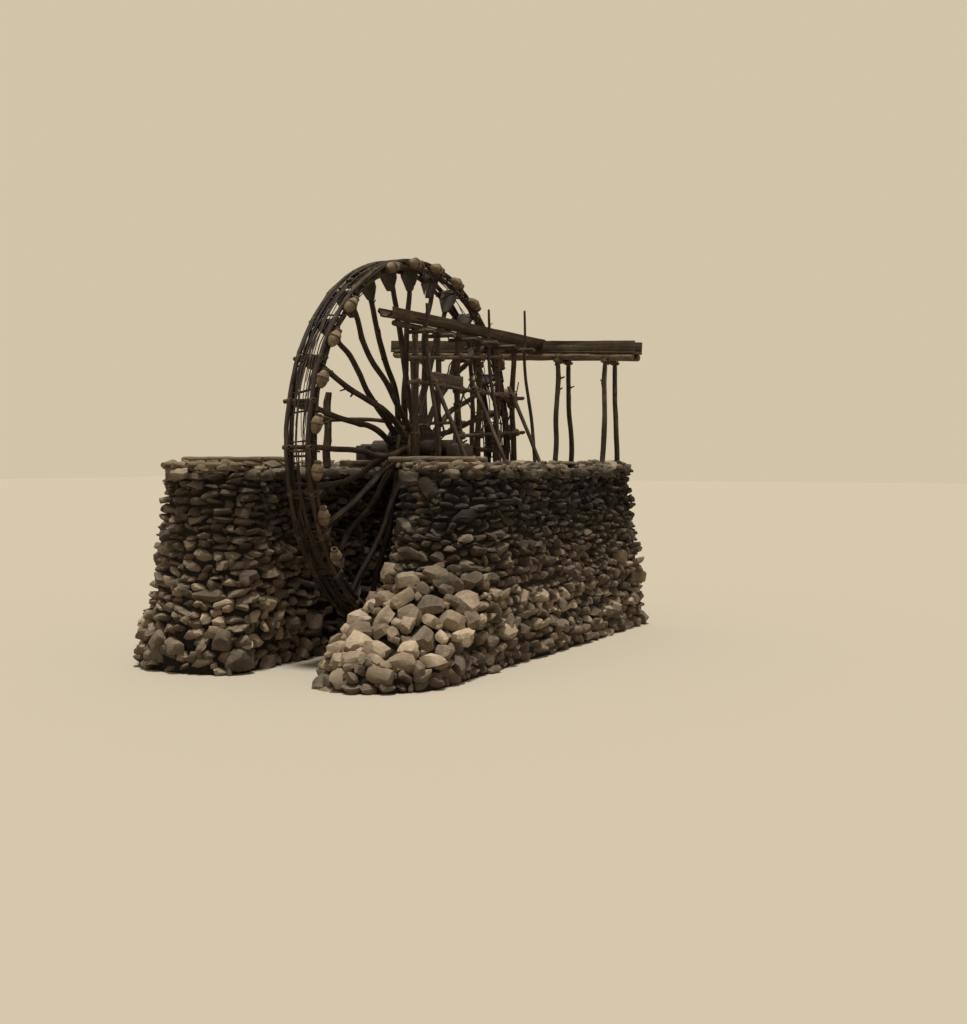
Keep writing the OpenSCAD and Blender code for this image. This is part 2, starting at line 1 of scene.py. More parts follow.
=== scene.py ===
"""Looks of a river water wheel: crooked poles, clay jars, dry stone piers and a wooden flume.

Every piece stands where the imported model's solids stand, and rides on one of its two bodies.
"""

import functools
import logging
import math
from dataclasses import dataclass, field
from enum import Enum
from random import Random
from typing import Callable, Iterable, Sequence

import bmesh
import bpy
from bmesh.types import BMEdge, BMesh, BMLayerItem, BMVert
from bpy.types import ID, Material, Mesh, Node, NodeSocket, NodeTree, Object
from mathutils import Matrix, Vector, noise
from mathutils.bvhtree import BVHTree


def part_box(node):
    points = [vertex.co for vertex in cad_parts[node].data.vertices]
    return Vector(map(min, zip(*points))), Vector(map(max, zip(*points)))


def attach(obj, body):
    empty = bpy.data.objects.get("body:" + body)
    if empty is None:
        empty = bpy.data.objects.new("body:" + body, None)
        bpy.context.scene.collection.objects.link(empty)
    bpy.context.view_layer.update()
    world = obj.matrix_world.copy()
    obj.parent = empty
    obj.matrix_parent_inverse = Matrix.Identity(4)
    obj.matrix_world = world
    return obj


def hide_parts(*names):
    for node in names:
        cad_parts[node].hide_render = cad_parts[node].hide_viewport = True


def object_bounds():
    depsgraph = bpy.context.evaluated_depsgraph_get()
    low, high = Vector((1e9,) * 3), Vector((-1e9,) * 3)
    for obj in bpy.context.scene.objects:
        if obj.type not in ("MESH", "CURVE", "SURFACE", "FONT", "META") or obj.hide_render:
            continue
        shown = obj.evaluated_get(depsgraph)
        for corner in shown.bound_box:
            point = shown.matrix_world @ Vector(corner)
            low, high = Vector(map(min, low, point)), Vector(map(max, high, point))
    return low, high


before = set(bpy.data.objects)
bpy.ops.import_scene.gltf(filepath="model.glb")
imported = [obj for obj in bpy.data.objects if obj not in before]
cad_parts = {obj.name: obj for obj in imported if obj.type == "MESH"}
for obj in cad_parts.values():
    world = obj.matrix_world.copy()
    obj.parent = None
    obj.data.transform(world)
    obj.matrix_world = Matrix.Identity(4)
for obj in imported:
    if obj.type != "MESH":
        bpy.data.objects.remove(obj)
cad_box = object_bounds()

log = logging.getLogger("water_wheel")

MM = 0.001
UP = Vector((0, 0, 1))
ALONG_X = Vector((1, 0, 0))
# Corners of a CAD mesh that lie closer than this are one corner
MERGE = 0.05 * MM
# The points in each ring of a CAD pole
POLE_SIDES = 8
# The places round the wheel, and the height of its axle
PLACES = 28
PITCH = math.tau / PLACES
AXLE_Z = 3.25
# No pole's centre line plus its radius, and no vertex, comes further from the axle than this
POLE_REACH = 3.0985
WHEEL_REACH = 3.0992
# The longest edge left in a hewn timber
HEWN_EDGE = 0.12
# The rope of the lashings, and its turns on each diagonal
LASH_R = 8.5 * MM
LASH_TURNS = 2
# Two poles whose surfaces are further apart than this aren't tied
TIE_GAP = 0.03
# Blender seeds the offsets of its noise vectors by the clock unless it is given a seed
NOISE_SEED = 1


class Body(Enum):
    """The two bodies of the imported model."""

    STATION = "station"
    WHEEL = "wheel"


class Slot(Enum):
    """The record's material slots."""

    STONE = "dry_stone"
    CLAY = "fired_clay"
    TROUGH = "trough_wood"
    PEELED = "peeled_poles"
    WET = "wet_wood"
    WHEEL = "wheel_poles"
    FRAME = "frame_poles"


# Materials


def linear(code: str) -> tuple[float, float, float, float]:
    """The linear colour of an sRGB hex code.

    Args:
        code: six hex digits after a hash.

    Returns:
        Red, green, blue and an alpha of 1.
    """
    parts = [int(code[i : i + 2], 16) / 255 for i in (1, 3, 5)]
    low = [c / 12.92 if c <= 0.04045 else ((c + 0.055) / 1.055) ** 2.4 for c in parts]
    return (low[0], low[1], low[2], 1.0)


def per_mm(size: float) -> float:
    """The scale of a pattern whose cells are so many millimetres wide."""
    return 1 / (size * MM)


def dress(tree: NodeTree, node: Node, **values) -> None:
    """Gives a node its settings, values and links.

    Args:
        tree: the node tree.
        node: the node.
        **values: the node's own properties by their names, the stops of a colour ramp as pairs of position
            and hex colour, and a value or an output socket for each input. An input goes by its name, which
            starts with a capital and has an underscore for each space, or by its number as i0, i1 and so on.
    """
    for name, value in values.items():
        numbered = name[1:].isdigit()
        key = int(name[1:]) if numbered else name.replace("_", " ")
        if name == "stops":
            bar = node.color_ramp
            while len(bar.elements) < len(value):
                bar.elements.new(0.5)
            for element, (at, code) in zip(bar.elements, value):
                element.position, element.color = at, linear(code)
        elif name[0].islower() and not numbered:
            setattr(node, name, value)
        elif isinstance(value, NodeSocket):
            tree.links.new(value, node.inputs[key])
        else:
            node.inputs[key].default_value = value


def add(tree: NodeTree, kind: str, out: int | str = 0, **values) -> NodeSocket | None:
    """Adds a node with its settings, values and links.

    Args:
        tree: the node tree.
        kind: the node's type, without the ShaderNode in front.
        out: the number or name of the output to hand back.
        **values: what dress() takes.

    Returns:
        The output socket, or nothing where the node has none.
    """
    node = tree.nodes.new("ShaderNode" + kind)
    dress(tree, node, **values)
    return node.outputs[out] if node.outputs else None


@dataclass(frozen=True)
class Finish:
    """The finish of a real material.

    Attributes:
        name: common name of the material and its state.
    """

    name: str

    def build(self) -> Material:
        """Makes the material.

        Returns:
            The material.
        """
        material = bpy.data.materials.new(self.name)
        material.use_nodes = True
        self.paint(material.node_tree, material.node_tree.nodes["Principled BSDF"])
        return material

    def paint(self, tree: NodeTree, shader: Node) -> None:
        """Adds the nodes in front of the shader. The plain finish has none."""


@dataclass(frozen=True)
class WoodFinish(Finish):
    """Unpainted wood with its grain along the pole or board, read from the piece's own grain attribute.

    Attributes:
        dark: colour of the grooves and of wet or shaded wood.
        mid: main colour.
        pale: colour of dried, worn ridges.
        fibre_mm: width of a fibre bundle.
        streak_mm: length of a fibre bundle.
        rough: roughness.
        bump: strength of the grain's relief.
        bark: share of the surface that still has bark.
        bark_colour: colour of the bark.
    """

    dark: str
    mid: str
    pale: str
    fibre_mm: float = 9.0
    streak_mm: float = 260.0
    rough: float = 0.82
    bump: float = 0.55
    bark: float = 0.0
    bark_colour: str = "#2b2119"

    def paint(self, tree: NodeTree, shader: Node) -> None:
        """Adds grain, drying cracks, weather and rags of bark.

        Args:
            tree: the material's nodes.
            shader: the shader that they feed.
        """
        grain = add(tree, "Attribute", "Vector", attribute_name="grain")
        place = add(tree, "TexCoord", "Object")
        stretch = (per_mm(self.fibre_mm), per_mm(self.fibre_mm), per_mm(self.streak_mm))
        along = add(tree, "Mapping", Vector=grain, Scale=stretch)
        fibres = add(tree, "TexNoise", Vector=along, Scale=1.0, Detail=6.0, Roughness=0.65)
        wide = add(tree, "Mapping", Vector=grain, Scale=tuple(s * 0.22 for s in stretch))
        bands = add(tree, "TexNoise", Vector=wide, Scale=1.0, Detail=3.0, Roughness=0.55)
        # Drying cracks: thin dark lines along the pole, 25 mm apart and some 450 mm long
        split = add(tree, "Mapping", Vector=grain, Scale=(per_mm(25), per_mm(25), 2.2))
        cells = add(tree, "TexVoronoi", feature="DISTANCE_TO_EDGE", Vector=split, Scale=1.0)
        crack = add(tree, "MapRange", i0=cells, i1=0.0, i2=0.05, i3=0.0, i4=1.0)
        # Weather: patches of about 0.4 m where the wood is bleached or stained
        patches = add(tree, "TexNoise", Vector=place, Scale=2.6, Detail=4.0, Roughness=0.6)
        share = 0.0
        for pattern, weight in ((bands, 0.55), (fibres, 0.35), (patches, 0.55)):
            share = add(tree, "Math", operation="MULTIPLY_ADD", i0=pattern, i1=weight, i2=share)
        tones = ((0.5, self.dark), (0.72, self.mid), (0.98, self.pale))
        colour = add(tree, "ValToRGB", Fac=share, stops=tones)
        gap = add(tree, "ValToRGB", Fac=crack, stops=((0.0, "#3a2f26"), (1.0, "#ffffff")))
        colour = add(tree, "Mix", 2, data_type="RGBA", blend_type="MULTIPLY", i0=0.8, i6=colour, i7=gap)
        relief = add(tree, "Math", operation="MULTIPLY", i0=fibres, i1=crack)
        if self.bark > 0:
            # Flakes of bark, 33 mm across and 111 mm long, in rags of about 0.2 m
            flakes = add(tree, "Mapping", Vector=grain, Scale=(30.0, 30.0, 9.0))
            plates = add(tree, "TexVoronoi", feature="DISTANCE_TO_EDGE", Vector=flakes, Scale=1.0)
            where = add(tree, "TexNoise", Vector=grain, Scale=per_mm(200), Detail=3.0)
            cut = 0.5 + (0.5 - self.bark) * 0.5
            mask = add(tree, "MapRange", i0=where, i1=cut - 0.08, i2=cut + 0.08, i3=0.0, i4=0.85)
            skins = ((0.0, self.dark), (0.3, self.bark_colour), (0.85, self.mid))
            skin = add(tree, "ValToRGB", Fac=plates, stops=skins)
            colour = add(tree, "Mix", 2, data_type="RGBA", i0=mask, i6=colour, i7=skin)
            lift = add(tree, "Math", operation="MULTIPLY", i0=plates, i1=mask)
            relief = add(tree, "Math", operation="MULTIPLY_ADD", i0=lift, i1=1.6, i2=relief)
        normal = add(tree, "Bump", Strength=self.bump, Distance=6 * MM, Height=relief)
        smooth, coarse = self.rough - 0.1, min(1.0, self.rough + 0.1)
        rough = add(tree, "MapRange", i0=patches, i1=0.3, i2=0.7, i3=smooth, i4=coarse)
        dress(tree, shader, Base_Color=colour, Roughness=rough, Normal=normal)


@dataclass(frozen=True)
class StoneFinish(Finish):
    """Weathered field stone; each stone has its own tone, and the foot of the pier is stained by the stream.

    Attributes:
        tones: hex colours from the darkest stone to the palest.
        lichen: colour of the crusts.
        wet: colour of the stain at the foot.
        upper_dark: the dark colour that the upper courses are mixed towards.
        rough: roughness of a dry stone.
        wet_rough: roughness of a wet one.
        foot: the heights between which the stain at the foot fades.
        darkened_span: the heights between which the darkening of the upper courses comes in.
        top_span: the heights, just under the pier's top, between which it goes again.
    """

    tones: tuple[str, ...]
    lichen: str = "#c3b594"
    wet: str = "#3b3226"
    upper_dark: str = "#19130e"
    rough: float = 0.92
    wet_rough: float = 0.55
    foot: tuple[float, float] = (0.1, 0.6)
    darkened_span: tuple[float, float] = (0.7, 2.2)
    top_span: tuple[float, float] = (2.84, 2.96)

    def paint(self, tree: NodeTree, shader: Node) -> None:
        """Adds mottling, lichen, worn edges and the stain of water at the foot, and darkens the upper
        courses.

        Args:
            tree: the material's nodes.
            shader: the shader that they feed.
        """
        place = add(tree, "TexCoord", "Object")
        tone = add(tree, "Attribute", "Fac", attribute_name="tone")
        # Mottling in blotches of about 60 mm and grit of about 6 mm
        blotch = add(tree, "TexNoise", Vector=place, Scale=16.0, Detail=5.0, Roughness=0.62)
        grit = add(tree, "TexNoise", Vector=place, Scale=150.0, Detail=3.0, Roughness=0.7)
        share = add(tree, "Math", operation="MULTIPLY_ADD", i0=blotch, i1=0.55, i2=-0.27)
        share = add(tree, "Math", operation="ADD", use_clamp=True, i0=share, i1=tone)
        step = 1 / (len(self.tones) - 1)
        stops = [(i * step, code) for i, code in enumerate(self.tones)]
        colour = add(tree, "ValToRGB", Fac=share, stops=stops)
        # Lichen: pale crusts of 20 to 50 mm on the upper stones
        crust = add(tree, "TexNoise", Vector=place, Scale=26.0, Detail=6.0, Roughness=0.7)
        spots = add(tree, "MapRange", i0=crust, i1=0.6, i2=0.66, i3=0.0, i4=0.55)
        edge = add(tree, "NewGeometry", "Pointiness")
        worn = add(tree, "MapRange", i0=edge, i1=0.5, i2=0.62, i3=0.0, i4=0.4)
        across = add(tree, "SeparateXYZ", 1, i0=place)
        height = add(tree, "SeparateXYZ", 2, i0=place)
        line = add(tree, "MapRange", i0=height, i1=self.foot[0], i2=self.foot[1], i3=0.6, i4=0.0)
        drip = add(tree, "MapRange", i0=blotch, i1=0.35, i2=0.65, i3=0.5, i4=1.0)
        stain = add(tree, "Math", operation="MULTIPLY", i0=line, i1=drip)
        # The upper courses are darkened, more towards the top, in patches of about 0.6 m
        darkness = add(tree, "MapRange", i0=height, i1=self.darkened_span[0], i2=self.darkened_span[1], i3=0.0, i4=0.95)
        runs = add(tree, "TexNoise", Vector=place, Scale=1.7, Detail=3.0, Roughness=0.6)
        runs = add(tree, "MapRange", i0=runs, i1=0.3, i2=0.5, i3=0.6, i4=1.0)
        # The left pier, on the +Y side, is darkened less
        side = add(tree, "MapRange", i0=across, i1=0.0, i2=1.2, i3=1.0, i4=0.62)
        # Just under the pier's top the darkening of the upper courses fades again
        dry = add(tree, "MapRange", i0=height, i1=self.top_span[0], i2=self.top_span[1], i3=1.0, i4=0.35)
        for less in (runs, side, dry):
            darkness = add(tree, "Math", operation="MULTIPLY", i0=darkness, i1=less)
        layers = ((spots, self.lichen), (worn, self.tones[-1]), (stain, self.wet), (darkness, self.upper_dark))
        for mask, code in layers:
            colour = add(tree, "Mix", 2, data_type="RGBA", i0=mask, i6=colour, i7=linear(code))
        # Crags: sharp ridges some 80 mm apart
        ridged = {"noise_type": "RIDGED_MULTIFRACTAL"}
        crag = add(tree, "TexNoise", Vector=place, Scale=13.0, Detail=5.0, Roughness=0.6, **ridged)
        relief = blotch
        for pattern, weight in ((grit, 0.22), (crag, 0.45)):
            relief = add(tree, "Math", operation="MULTIPLY_ADD", i0=pattern, i1=weight, i2=relief)
        normal = add(tree, "Bump", Strength=0.85, Distance=20 * MM, Height=relief)
        rough = add(tree, "MapRange", i0=stain, i1=0.0, i2=1.0, i3=self.rough, i4=self.wet_rough)
        dress(tree, shader, Base_Color=colour, Roughness=rough, Normal=normal)


@dataclass(frozen=True)
class ClayFinish(Finish):
    """Unglazed fired clay, thrown on a wheel, with a lime crust from the stream.

    Attributes:
        body: colour of the clay.
        burnt: colour of the darker firing marks.
        lime: colour of the dried crust.
    """

    body: str
    burnt: str
    lime: str

    def paint(self, tree: NodeTree, shader: Node) -> None:
        """Adds throwing rings, clouds of firing and crust, and a fine grit.

        Args:
            tree: the material's nodes.
            shader: the shader that they feed.
        """
        lathe = add(tree, "Attribute", "Vector", attribute_name="grain")
        place = add(tree, "TexCoord", "Object")
        # Throwing rings, some 6 mm apart up the jar
        up = {"bands_direction": "Z"}
        rings = add(tree, "TexWave", 1, Vector=lathe, Scale=26.0, Distortion=1.2, Detail=2.0, **up)
        # Clouds of about 110 mm, and grit of about 5 mm, coarser than the real one so that it shows
        cloud = add(tree, "TexNoise", Vector=place, Scale=9.0, Detail=5.0, Roughness=0.6)
        fine = add(tree, "TexNoise", Vector=place, Scale=210.0, Detail=3.0)
        tones = ((0.32, self.burnt), (0.55, self.body), (0.72, self.lime))
        colour = add(tree, "ValToRGB", Fac=cloud, stops=tones)
        grit = add(tree, "ValToRGB", Fac=fine, stops=((0.3, "#cfc6b6"), (0.7, "#ffffff")))
        colour = add(tree, "Mix", 2, data_type="RGBA", blend_type="MULTIPLY", i0=0.6, i6=colour, i7=grit)
        relief = add(tree, "Math", operation="MULTIPLY_ADD", i0=fine, i1=0.35, i2=rings)
        normal = add(tree, "Bump", Strength=0.35, Distance=2.5 * MM, Height=relief)
        rough = add(tree, "MapRange", i0=cloud, i1=0.3, i2=0.7, i3=0.7, i4=0.92)
        dress(tree, shader, Base_Color=colour, Roughness=rough, Normal=normal)


@dataclass(frozen=True)
class RopeFinish(Finish):
    """Twisted plant-fibre rope; the strands slope round its length, read from the grain attribute.

    Attributes:
        dark: colour between the strands.
        pale: colour on top of the strands.
        strand_mm: distance between two strands.
    """

    dark: str
    pale: str
    strand_mm: float = 14.0

    def paint(self, tree: NodeTree, shader: Node) -> None:
        """Adds sloping strands and a fuzz of loose fibres some 6 mm long.

        Args:
            tree: the material's nodes.
            shader: the shader that they feed.
        """
        twist = add(tree, "Attribute", "Vector", attribute_name="grain")
        scale = per_mm(self.strand_mm) / math.pi
        slope = {"bands_direction": "DIAGONAL"}
        strands = add(tree, "TexWave", 1, Vector=twist, Scale=scale, Distortion=0.6, Detail=1.0, **slope)
        fuzz = add(tree, "TexNoise", Vector=twist, Scale=160.0, Detail=4.0, Roughness=0.7)
        share = add(tree, "Math", operation="MULTIPLY_ADD", i0=fuzz, i1=0.5, i2=strands)
        share = add(tree, "Math", operation="MULTIPLY", i0=share, i1=0.66)
        colour = add(tree, "ValToRGB", Fac=share, stops=((0.2, self.dark), (0.75, self.pale)))
        normal = add(tree, "Bump", Strength=0.8, Distance=3 * MM, Height=share)
        dress(tree, shader, Base_Color=colour, Roughness=0.93, Normal=normal)


@dataclass(frozen=True)
class EarthAndShadeFinish(Finish):
    """Packed earth and spalls deep between the stones, painted nearly black as painted shade of the deep
    joints.

    Attributes:
        dark: colour of the deep joints, nearly black: painted shade.
        pale: colour of the spalls.
    """

    dark: str
    pale: str

    def paint(self, tree: NodeTree, shader: Node) -> None:
        """Adds clods of about 70 mm and crumbs of about 20 mm.

        Args:
            tree: the material's nodes.
            shader: the shader that they feed.
        """
        place = add(tree, "TexCoord", "Object")
        clods = add(tree, "TexVoronoi", Vector=place, Scale=14.0)
        crumbs = add(tree, "TexNoise", Vector=place, Scale=45.0, Detail=5.0, Roughness=0.7)
        share = add(tree, "Math", operation="MULTIPLY", i0=clods, i1=crumbs)
        colour = add(tree, "ValToRGB", Fac=share, stops=((0.05, self.pale), (0.4, self.dark)))
        normal = add(tree, "Bump", Strength=1.0, Distance=30 * MM, Height=share)
        dress(tree, shader, Base_Color=colour, Roughness=0.97, Normal=normal)


@dataclass(frozen=True)
class FloorFinish(Finish):
    """The matt floor. Only the eye sees it pale: to the object it is dull, and sends little light up.

    Attributes:
        seen: the colour that the eye sees.
        lit: the colour that lights the object.
    """

    seen: str
    lit: str

    def paint(self, tree: NodeTree, shader: Node) -> None:
        """Mixes the two colours by what looks at the floor.

        Args:
            tree: the material's nodes.
            shader: the shader that they feed.
        """
        dull, pale = linear(self.lit), linear(self.seen)
        shown = add(tree, "Mix", 2, data_type="RGBA", i0=seen_mask(tree), i6=dull, i7=pale)
        dress(tree, shader, Base_Color=shown, Roughness=0.9)


def seen_mask(tree: NodeTree) -> NodeSocket:
    """The mask of what the eye sees, straight or in a gloss."""
    straight, gloss = (add(tree, "LightPath", f"Is {kind} Ray") for kind in ("Camera", "Glossy"))
    return add(tree, "Math", operation="MAXIMUM", i0=straight, i1=gloss)


@functools.cache
def material_of(finish: Finish) -> Material:
    """The material of a finish, made once."""
    return finish.build()


# Willow poles with rags of wet bark: warm grey ridges over nearly black grooves
WHEEL_POLES = WoodFinish(
    "willow_poles_wet_bark", "#1c140e", "#3b2e22", "#7d6b54", bark=0.42, bark_colour="#2a2018"
)
# Poplar poles that have stood dry for years: the same ridges, paler and greyer
FRAME_POLES = WoodFinish(
    "poplar_poles_weathered_bark", "#231a13", "#4a3b2d", "#8c7a61", bark=0.36, bark_colour="#32271d"
)
# Barked poles bleached by the sun: smooth, pale and nearly free of brown
PEELED_POLES = WoodFinish(
    "poplar_poles_peeled", "#43362a", "#7a6851", "#ad9b7e", bark=0.12, bark_colour="#3b2f24"
)
# Sills squared with an axe: long pale streaks between dark cuts
HEWN_BEAMS = WoodFinish("poplar_beams_hewn", "#2b2119", "#5d4b39", "#9a866b", streak_mm=350.0)
# Boards that the stream wets at each turn: near black with brown ridges and a low sheen
WET_BOARDS = WoodFinish("elm_boards_wet", "#140f0b", "#2d221a", "#5a4a3a", rough=0.62, fibre_mm=7.0)
# A hollowed log and sawn planks, grey on top and brown in the grooves
TROUGH_WOOD = WoodFinish(
    "poplar_log_hewn", "#1f160f", "#4a3b2c", "#8d7a5f", rough=0.8, streak_mm=420.0, bump=0.8
)
# An oak log dark with grease and water, with a dull shine where the light catches it
AXLE_WOOD = WoodFinish("oak_log_greased", "#17110d", "#3a2c20", "#65523d", rough=0.55, fibre_mm=6.0)
# Rough stones from nearly black basalt to pale limestone, dusty where dry
FIELD_STONE = StoneFinish(
    "basalt_and_limestone_field_stone", ("#241b16", "#41352b", "#685849", "#99866e", "#cab69a")
)
# Earth deep in the joints, painted nearly black as painted shade
EARTH_AND_PAINTED_SHADE = EarthAndShadeFinish("earth_and_spalls_painted_shade", "#120d09", "#241b12")
# Dull buff clay, clouded grey by the fire and chalky where water has dried
JAR_CLAY = ClayFinish("unglazed_buff_earthenware", "#937f66", "#57493a", "#bdae90")
# Palm fibre twisted by hand: straw-coloured strands with dark lines between them
ROPE = RopeFinish("twisted_palm_fibre_rope", "#2e2218", "#847051")
# A plain floor that shows the shadow of the object
FLOOR = FloorFinish("matt_pale_floor", "#bdb4a2", "#7d7466")


# Mesh helpers


def finish_piece(
    bm: BMesh,
    name: str,
    finish: Finish,
    body: Body,
    nodes: Sequence[str] = (),
    sharp: float = 40.0,
) -> None:
    """Turns a bmesh into a finished piece that rides on a body.

    Args:
        bm: the mesh, in the frame's metres.
        name: the piece's name.
        finish: its finish.
        body: the body that carries it.
        nodes: the CAD nodes it stands for.
        sharp: edges that turn more than this many degrees stay sharp.
    """
    mesh = keep_mesh(bm, name)
    mesh.materials.append(material_of(finish))
    mesh.shade_smooth()
    mesh.set_sharp_from_angle(angle=math.radians(sharp))
    piece = bpy.data.objects.new(name, mesh)
    bpy.context.scene.collection.objects.link(piece)
    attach(piece, body.value)
    if nodes:
        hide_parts(*nodes)
    log.info("%s: %d triangles", name, sum(len(p.vertices) - 2 for p in mesh.polygons))


def append(bm: BMesh, mesh: Mesh) -> list[BMVert]:
    """Adds a mesh to a bmesh.

    Args:
        bm: the bmesh that grows.
        mesh: the mesh to add.

    Returns:
        The new vertices.
    """
    before = len(bm.verts)
    bm.from_mesh(mesh)
    bm.verts.ensure_lookup_table()
    return bm.verts[before:]


def keep_mesh(bm: BMesh, name: str) -> Mesh:
    """Stores a bmesh as a mesh, and frees it.

    Args:
        bm: the bmesh.
        name: the mesh's name.

    Returns:
        The mesh.
    """
    mesh = bpy.data.meshes.new(name)
    bm.to_mesh(mesh)
    bm.free()
    return mesh


def cad_mesh(node: str, flat: bool = False) -> BMesh:
    """A copy of a CAD node's mesh, with its doubles merged.

    Args:
        node: the CAD node.
        flat: whether the triangles of a flat face are joined again.

    Returns:
        The bmesh.
    """
    bm = bmesh.new()
    bm.from_mesh(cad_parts[node].data)
    bmesh.ops.remove_doubles(bm, verts=bm.verts[:], dist=MERGE)
    if flat:
        bmesh.ops.dissolve_limit(bm, angle_limit=math.radians(1.0), verts=bm.verts[:], edges=bm.edges[:])
    return bm


def ease_edges(bm: BMesh, width: float, segments: int = 1) -> None:
    """Rounds every edge, as wear does.

    Args:
        bm: the bmesh.
        width: the width of the worn strip.
        segments: the steps across it.
    """
    kind = {"offset_type": "OFFSET", "affect": "EDGES", "material": -1, "clamp_overlap": True}
    bmesh.ops.bevel(bm, geom=bm.edges[:], offset=width, segments=segments, profile=0.5, **kind)


def halve_long(bm: BMesh, rounds: int, too_long: Callable[[BMEdge], bool]) -> None:
    """Halves the edges that are too long until none is left.

    Args:
        bm: the bmesh.
        rounds: how often at most.
        too_long: the test of an edge.
    """
    for _ in range(rounds):
        long = [e for e in bm.edges if too_long(e)]
        if not long:
            break
        bmesh.ops.subdivide_edges(bm, edges=long, cuts=1, use_grid_fill=True)


def grain_layer(bm: BMesh) -> BMLayerItem:
    """The layer that holds each vertex's place across and along the grain."""
    return bm.verts.layers.float_vector.get("grain") or bm.verts.layers.float_vector.new("grain")


def tone_layer(bm: BMesh) -> BMLayerItem:
    """The layer that holds each stone's tone."""
    return bm.verts.layers.float.get("tone") or bm.verts.layers.float.new("tone")


def at_angle(turn: float) -> Matrix:
    """The frame at an angle round the wheel: X outwards, Y along the axle, Z round the rim."""
    return Matrix.Translation((0, 0, AXLE_Z)) @ Matrix.Rotation(-turn, 4, "Y")


def on_wheel(turn: float, r: float, y: float) -> Vector:
    """The point at an angle, a radius and a place along the axle."""
    return Vector((math.cos(turn) * r, y, AXLE_Z + math.sin(turn) * r))


# Poles


@dataclass(frozen=True)
class Course:
    """The centre line of a pole.

    Attributes:
        points: the points on it.
        radii: the pole's radius at each point.
    """

    points: tuple[Vector, ...]
    radii: tuple[float, ...]

    def span(self, t: float) -> tuple[int, float]:
        """Finds a place on the line.

        Args:
            t: the share of the line, from 0 to 1.

        Returns:
            The number of the span that holds the place, and the share of that span.
        """
        n = len(self.points) - 1
        x = min(max(t, 0.0), 1.0) * n
        i = min(int(x), n - 1)
        return i, x - i

    def at(self, t: float) -> Vector:
        """A point of the smooth curve through the line's points.

        Args:
            t: the share of the line, from 0 to 1.

        Returns:
            The point.
        """
        i, f = self.span(t)
        last = len(self.points) - 1
        a, b, c, d = (self.points[min(max(j, 0), last)] for j in (i - 1, i, i + 1, i + 2))
        square, cube = 2 * a - 5 * b + 4 * c - d, 3 * b - a - 3 * c + d
        return 0.5 * (2 * b + (c - a) * f + square * f**2 + cube * f**3)

    def radius(self, t: float) -> float:
        """The pole's radius at share t of the line."""
        i, f = self.span(t)
        return self.radii[i] + (self.radii[i + 1] - self.radii[i]) * f

    def length(self) -> float:
        """The length of the line."""
        return sum((b - a).length for a, b in zip(self.points, self.points[1:]))

    def side(self, t: float) -> Vector:
        """The direction of the line at share t."""
        return (self.at(min(1.0, t + 0.01)) - self.at(max(0.0, t - 0.01))).normalized()


def islands(node: str) -> list[list[Vector]]:
    """The vertices of each solid of a CAD node.

    Args:
        node: the node's name.

    Returns:
        One list of points for each solid, in the order of their middles.
    """
    bm = cad_mesh(node)
    left = set(bm.verts)
    groups: list[list[Vector]] = []
    while left:
        seed = left.pop()
        found, edge = [seed], [seed]
        while edge:
            for e in edge.pop().link_edges:
                for v in e.verts:
                    if v in left:
                        left.remove(v)
                        found.append(v)
                        edge.append(v)
        groups.append([v.co.copy() for v in found])
    bm.free()
    middles = [sum(g, Vector()) / len(g) for g in groups]
    order = sorted(range(len(groups)), key=lambda i: tuple(round(c, 3) for c in middles[i]))
    return [groups[i] for i in order]


def read_courses(node: str) -> list[Course]:
    """The centre lines of the poles of a CAD node, which are swept with a ring of points at each bend.

    Args:
        node: the node's name.

    Returns:
        One course for each pole.
    """
    courses = []
    for group in islands(node):
        far = max(group, key=lambda p: (p - group[0]).length_squared)
        near = max(group, key=lambda p: (p - far).length_squared)
        axis = (far - near).normalized()
        if axis.dot(Vector((0.3, 0.5, 1))) < 0:
            axis = -axis
        ordered = sorted(group, key=lambda p: p.dot(axis))
        rings = [ordered[i : i + POLE_SIDES] for i in range(0, len(ordered), POLE_SIDES)]
        middles = [sum(r, Vector()) / len(r) for r in rings]
        radii = [sum((p - m).length for p in r) / len(r) for r, m in zip(rings, middles)]
        courses.append(Course(tuple(middles), tuple(radii)))
    return courses


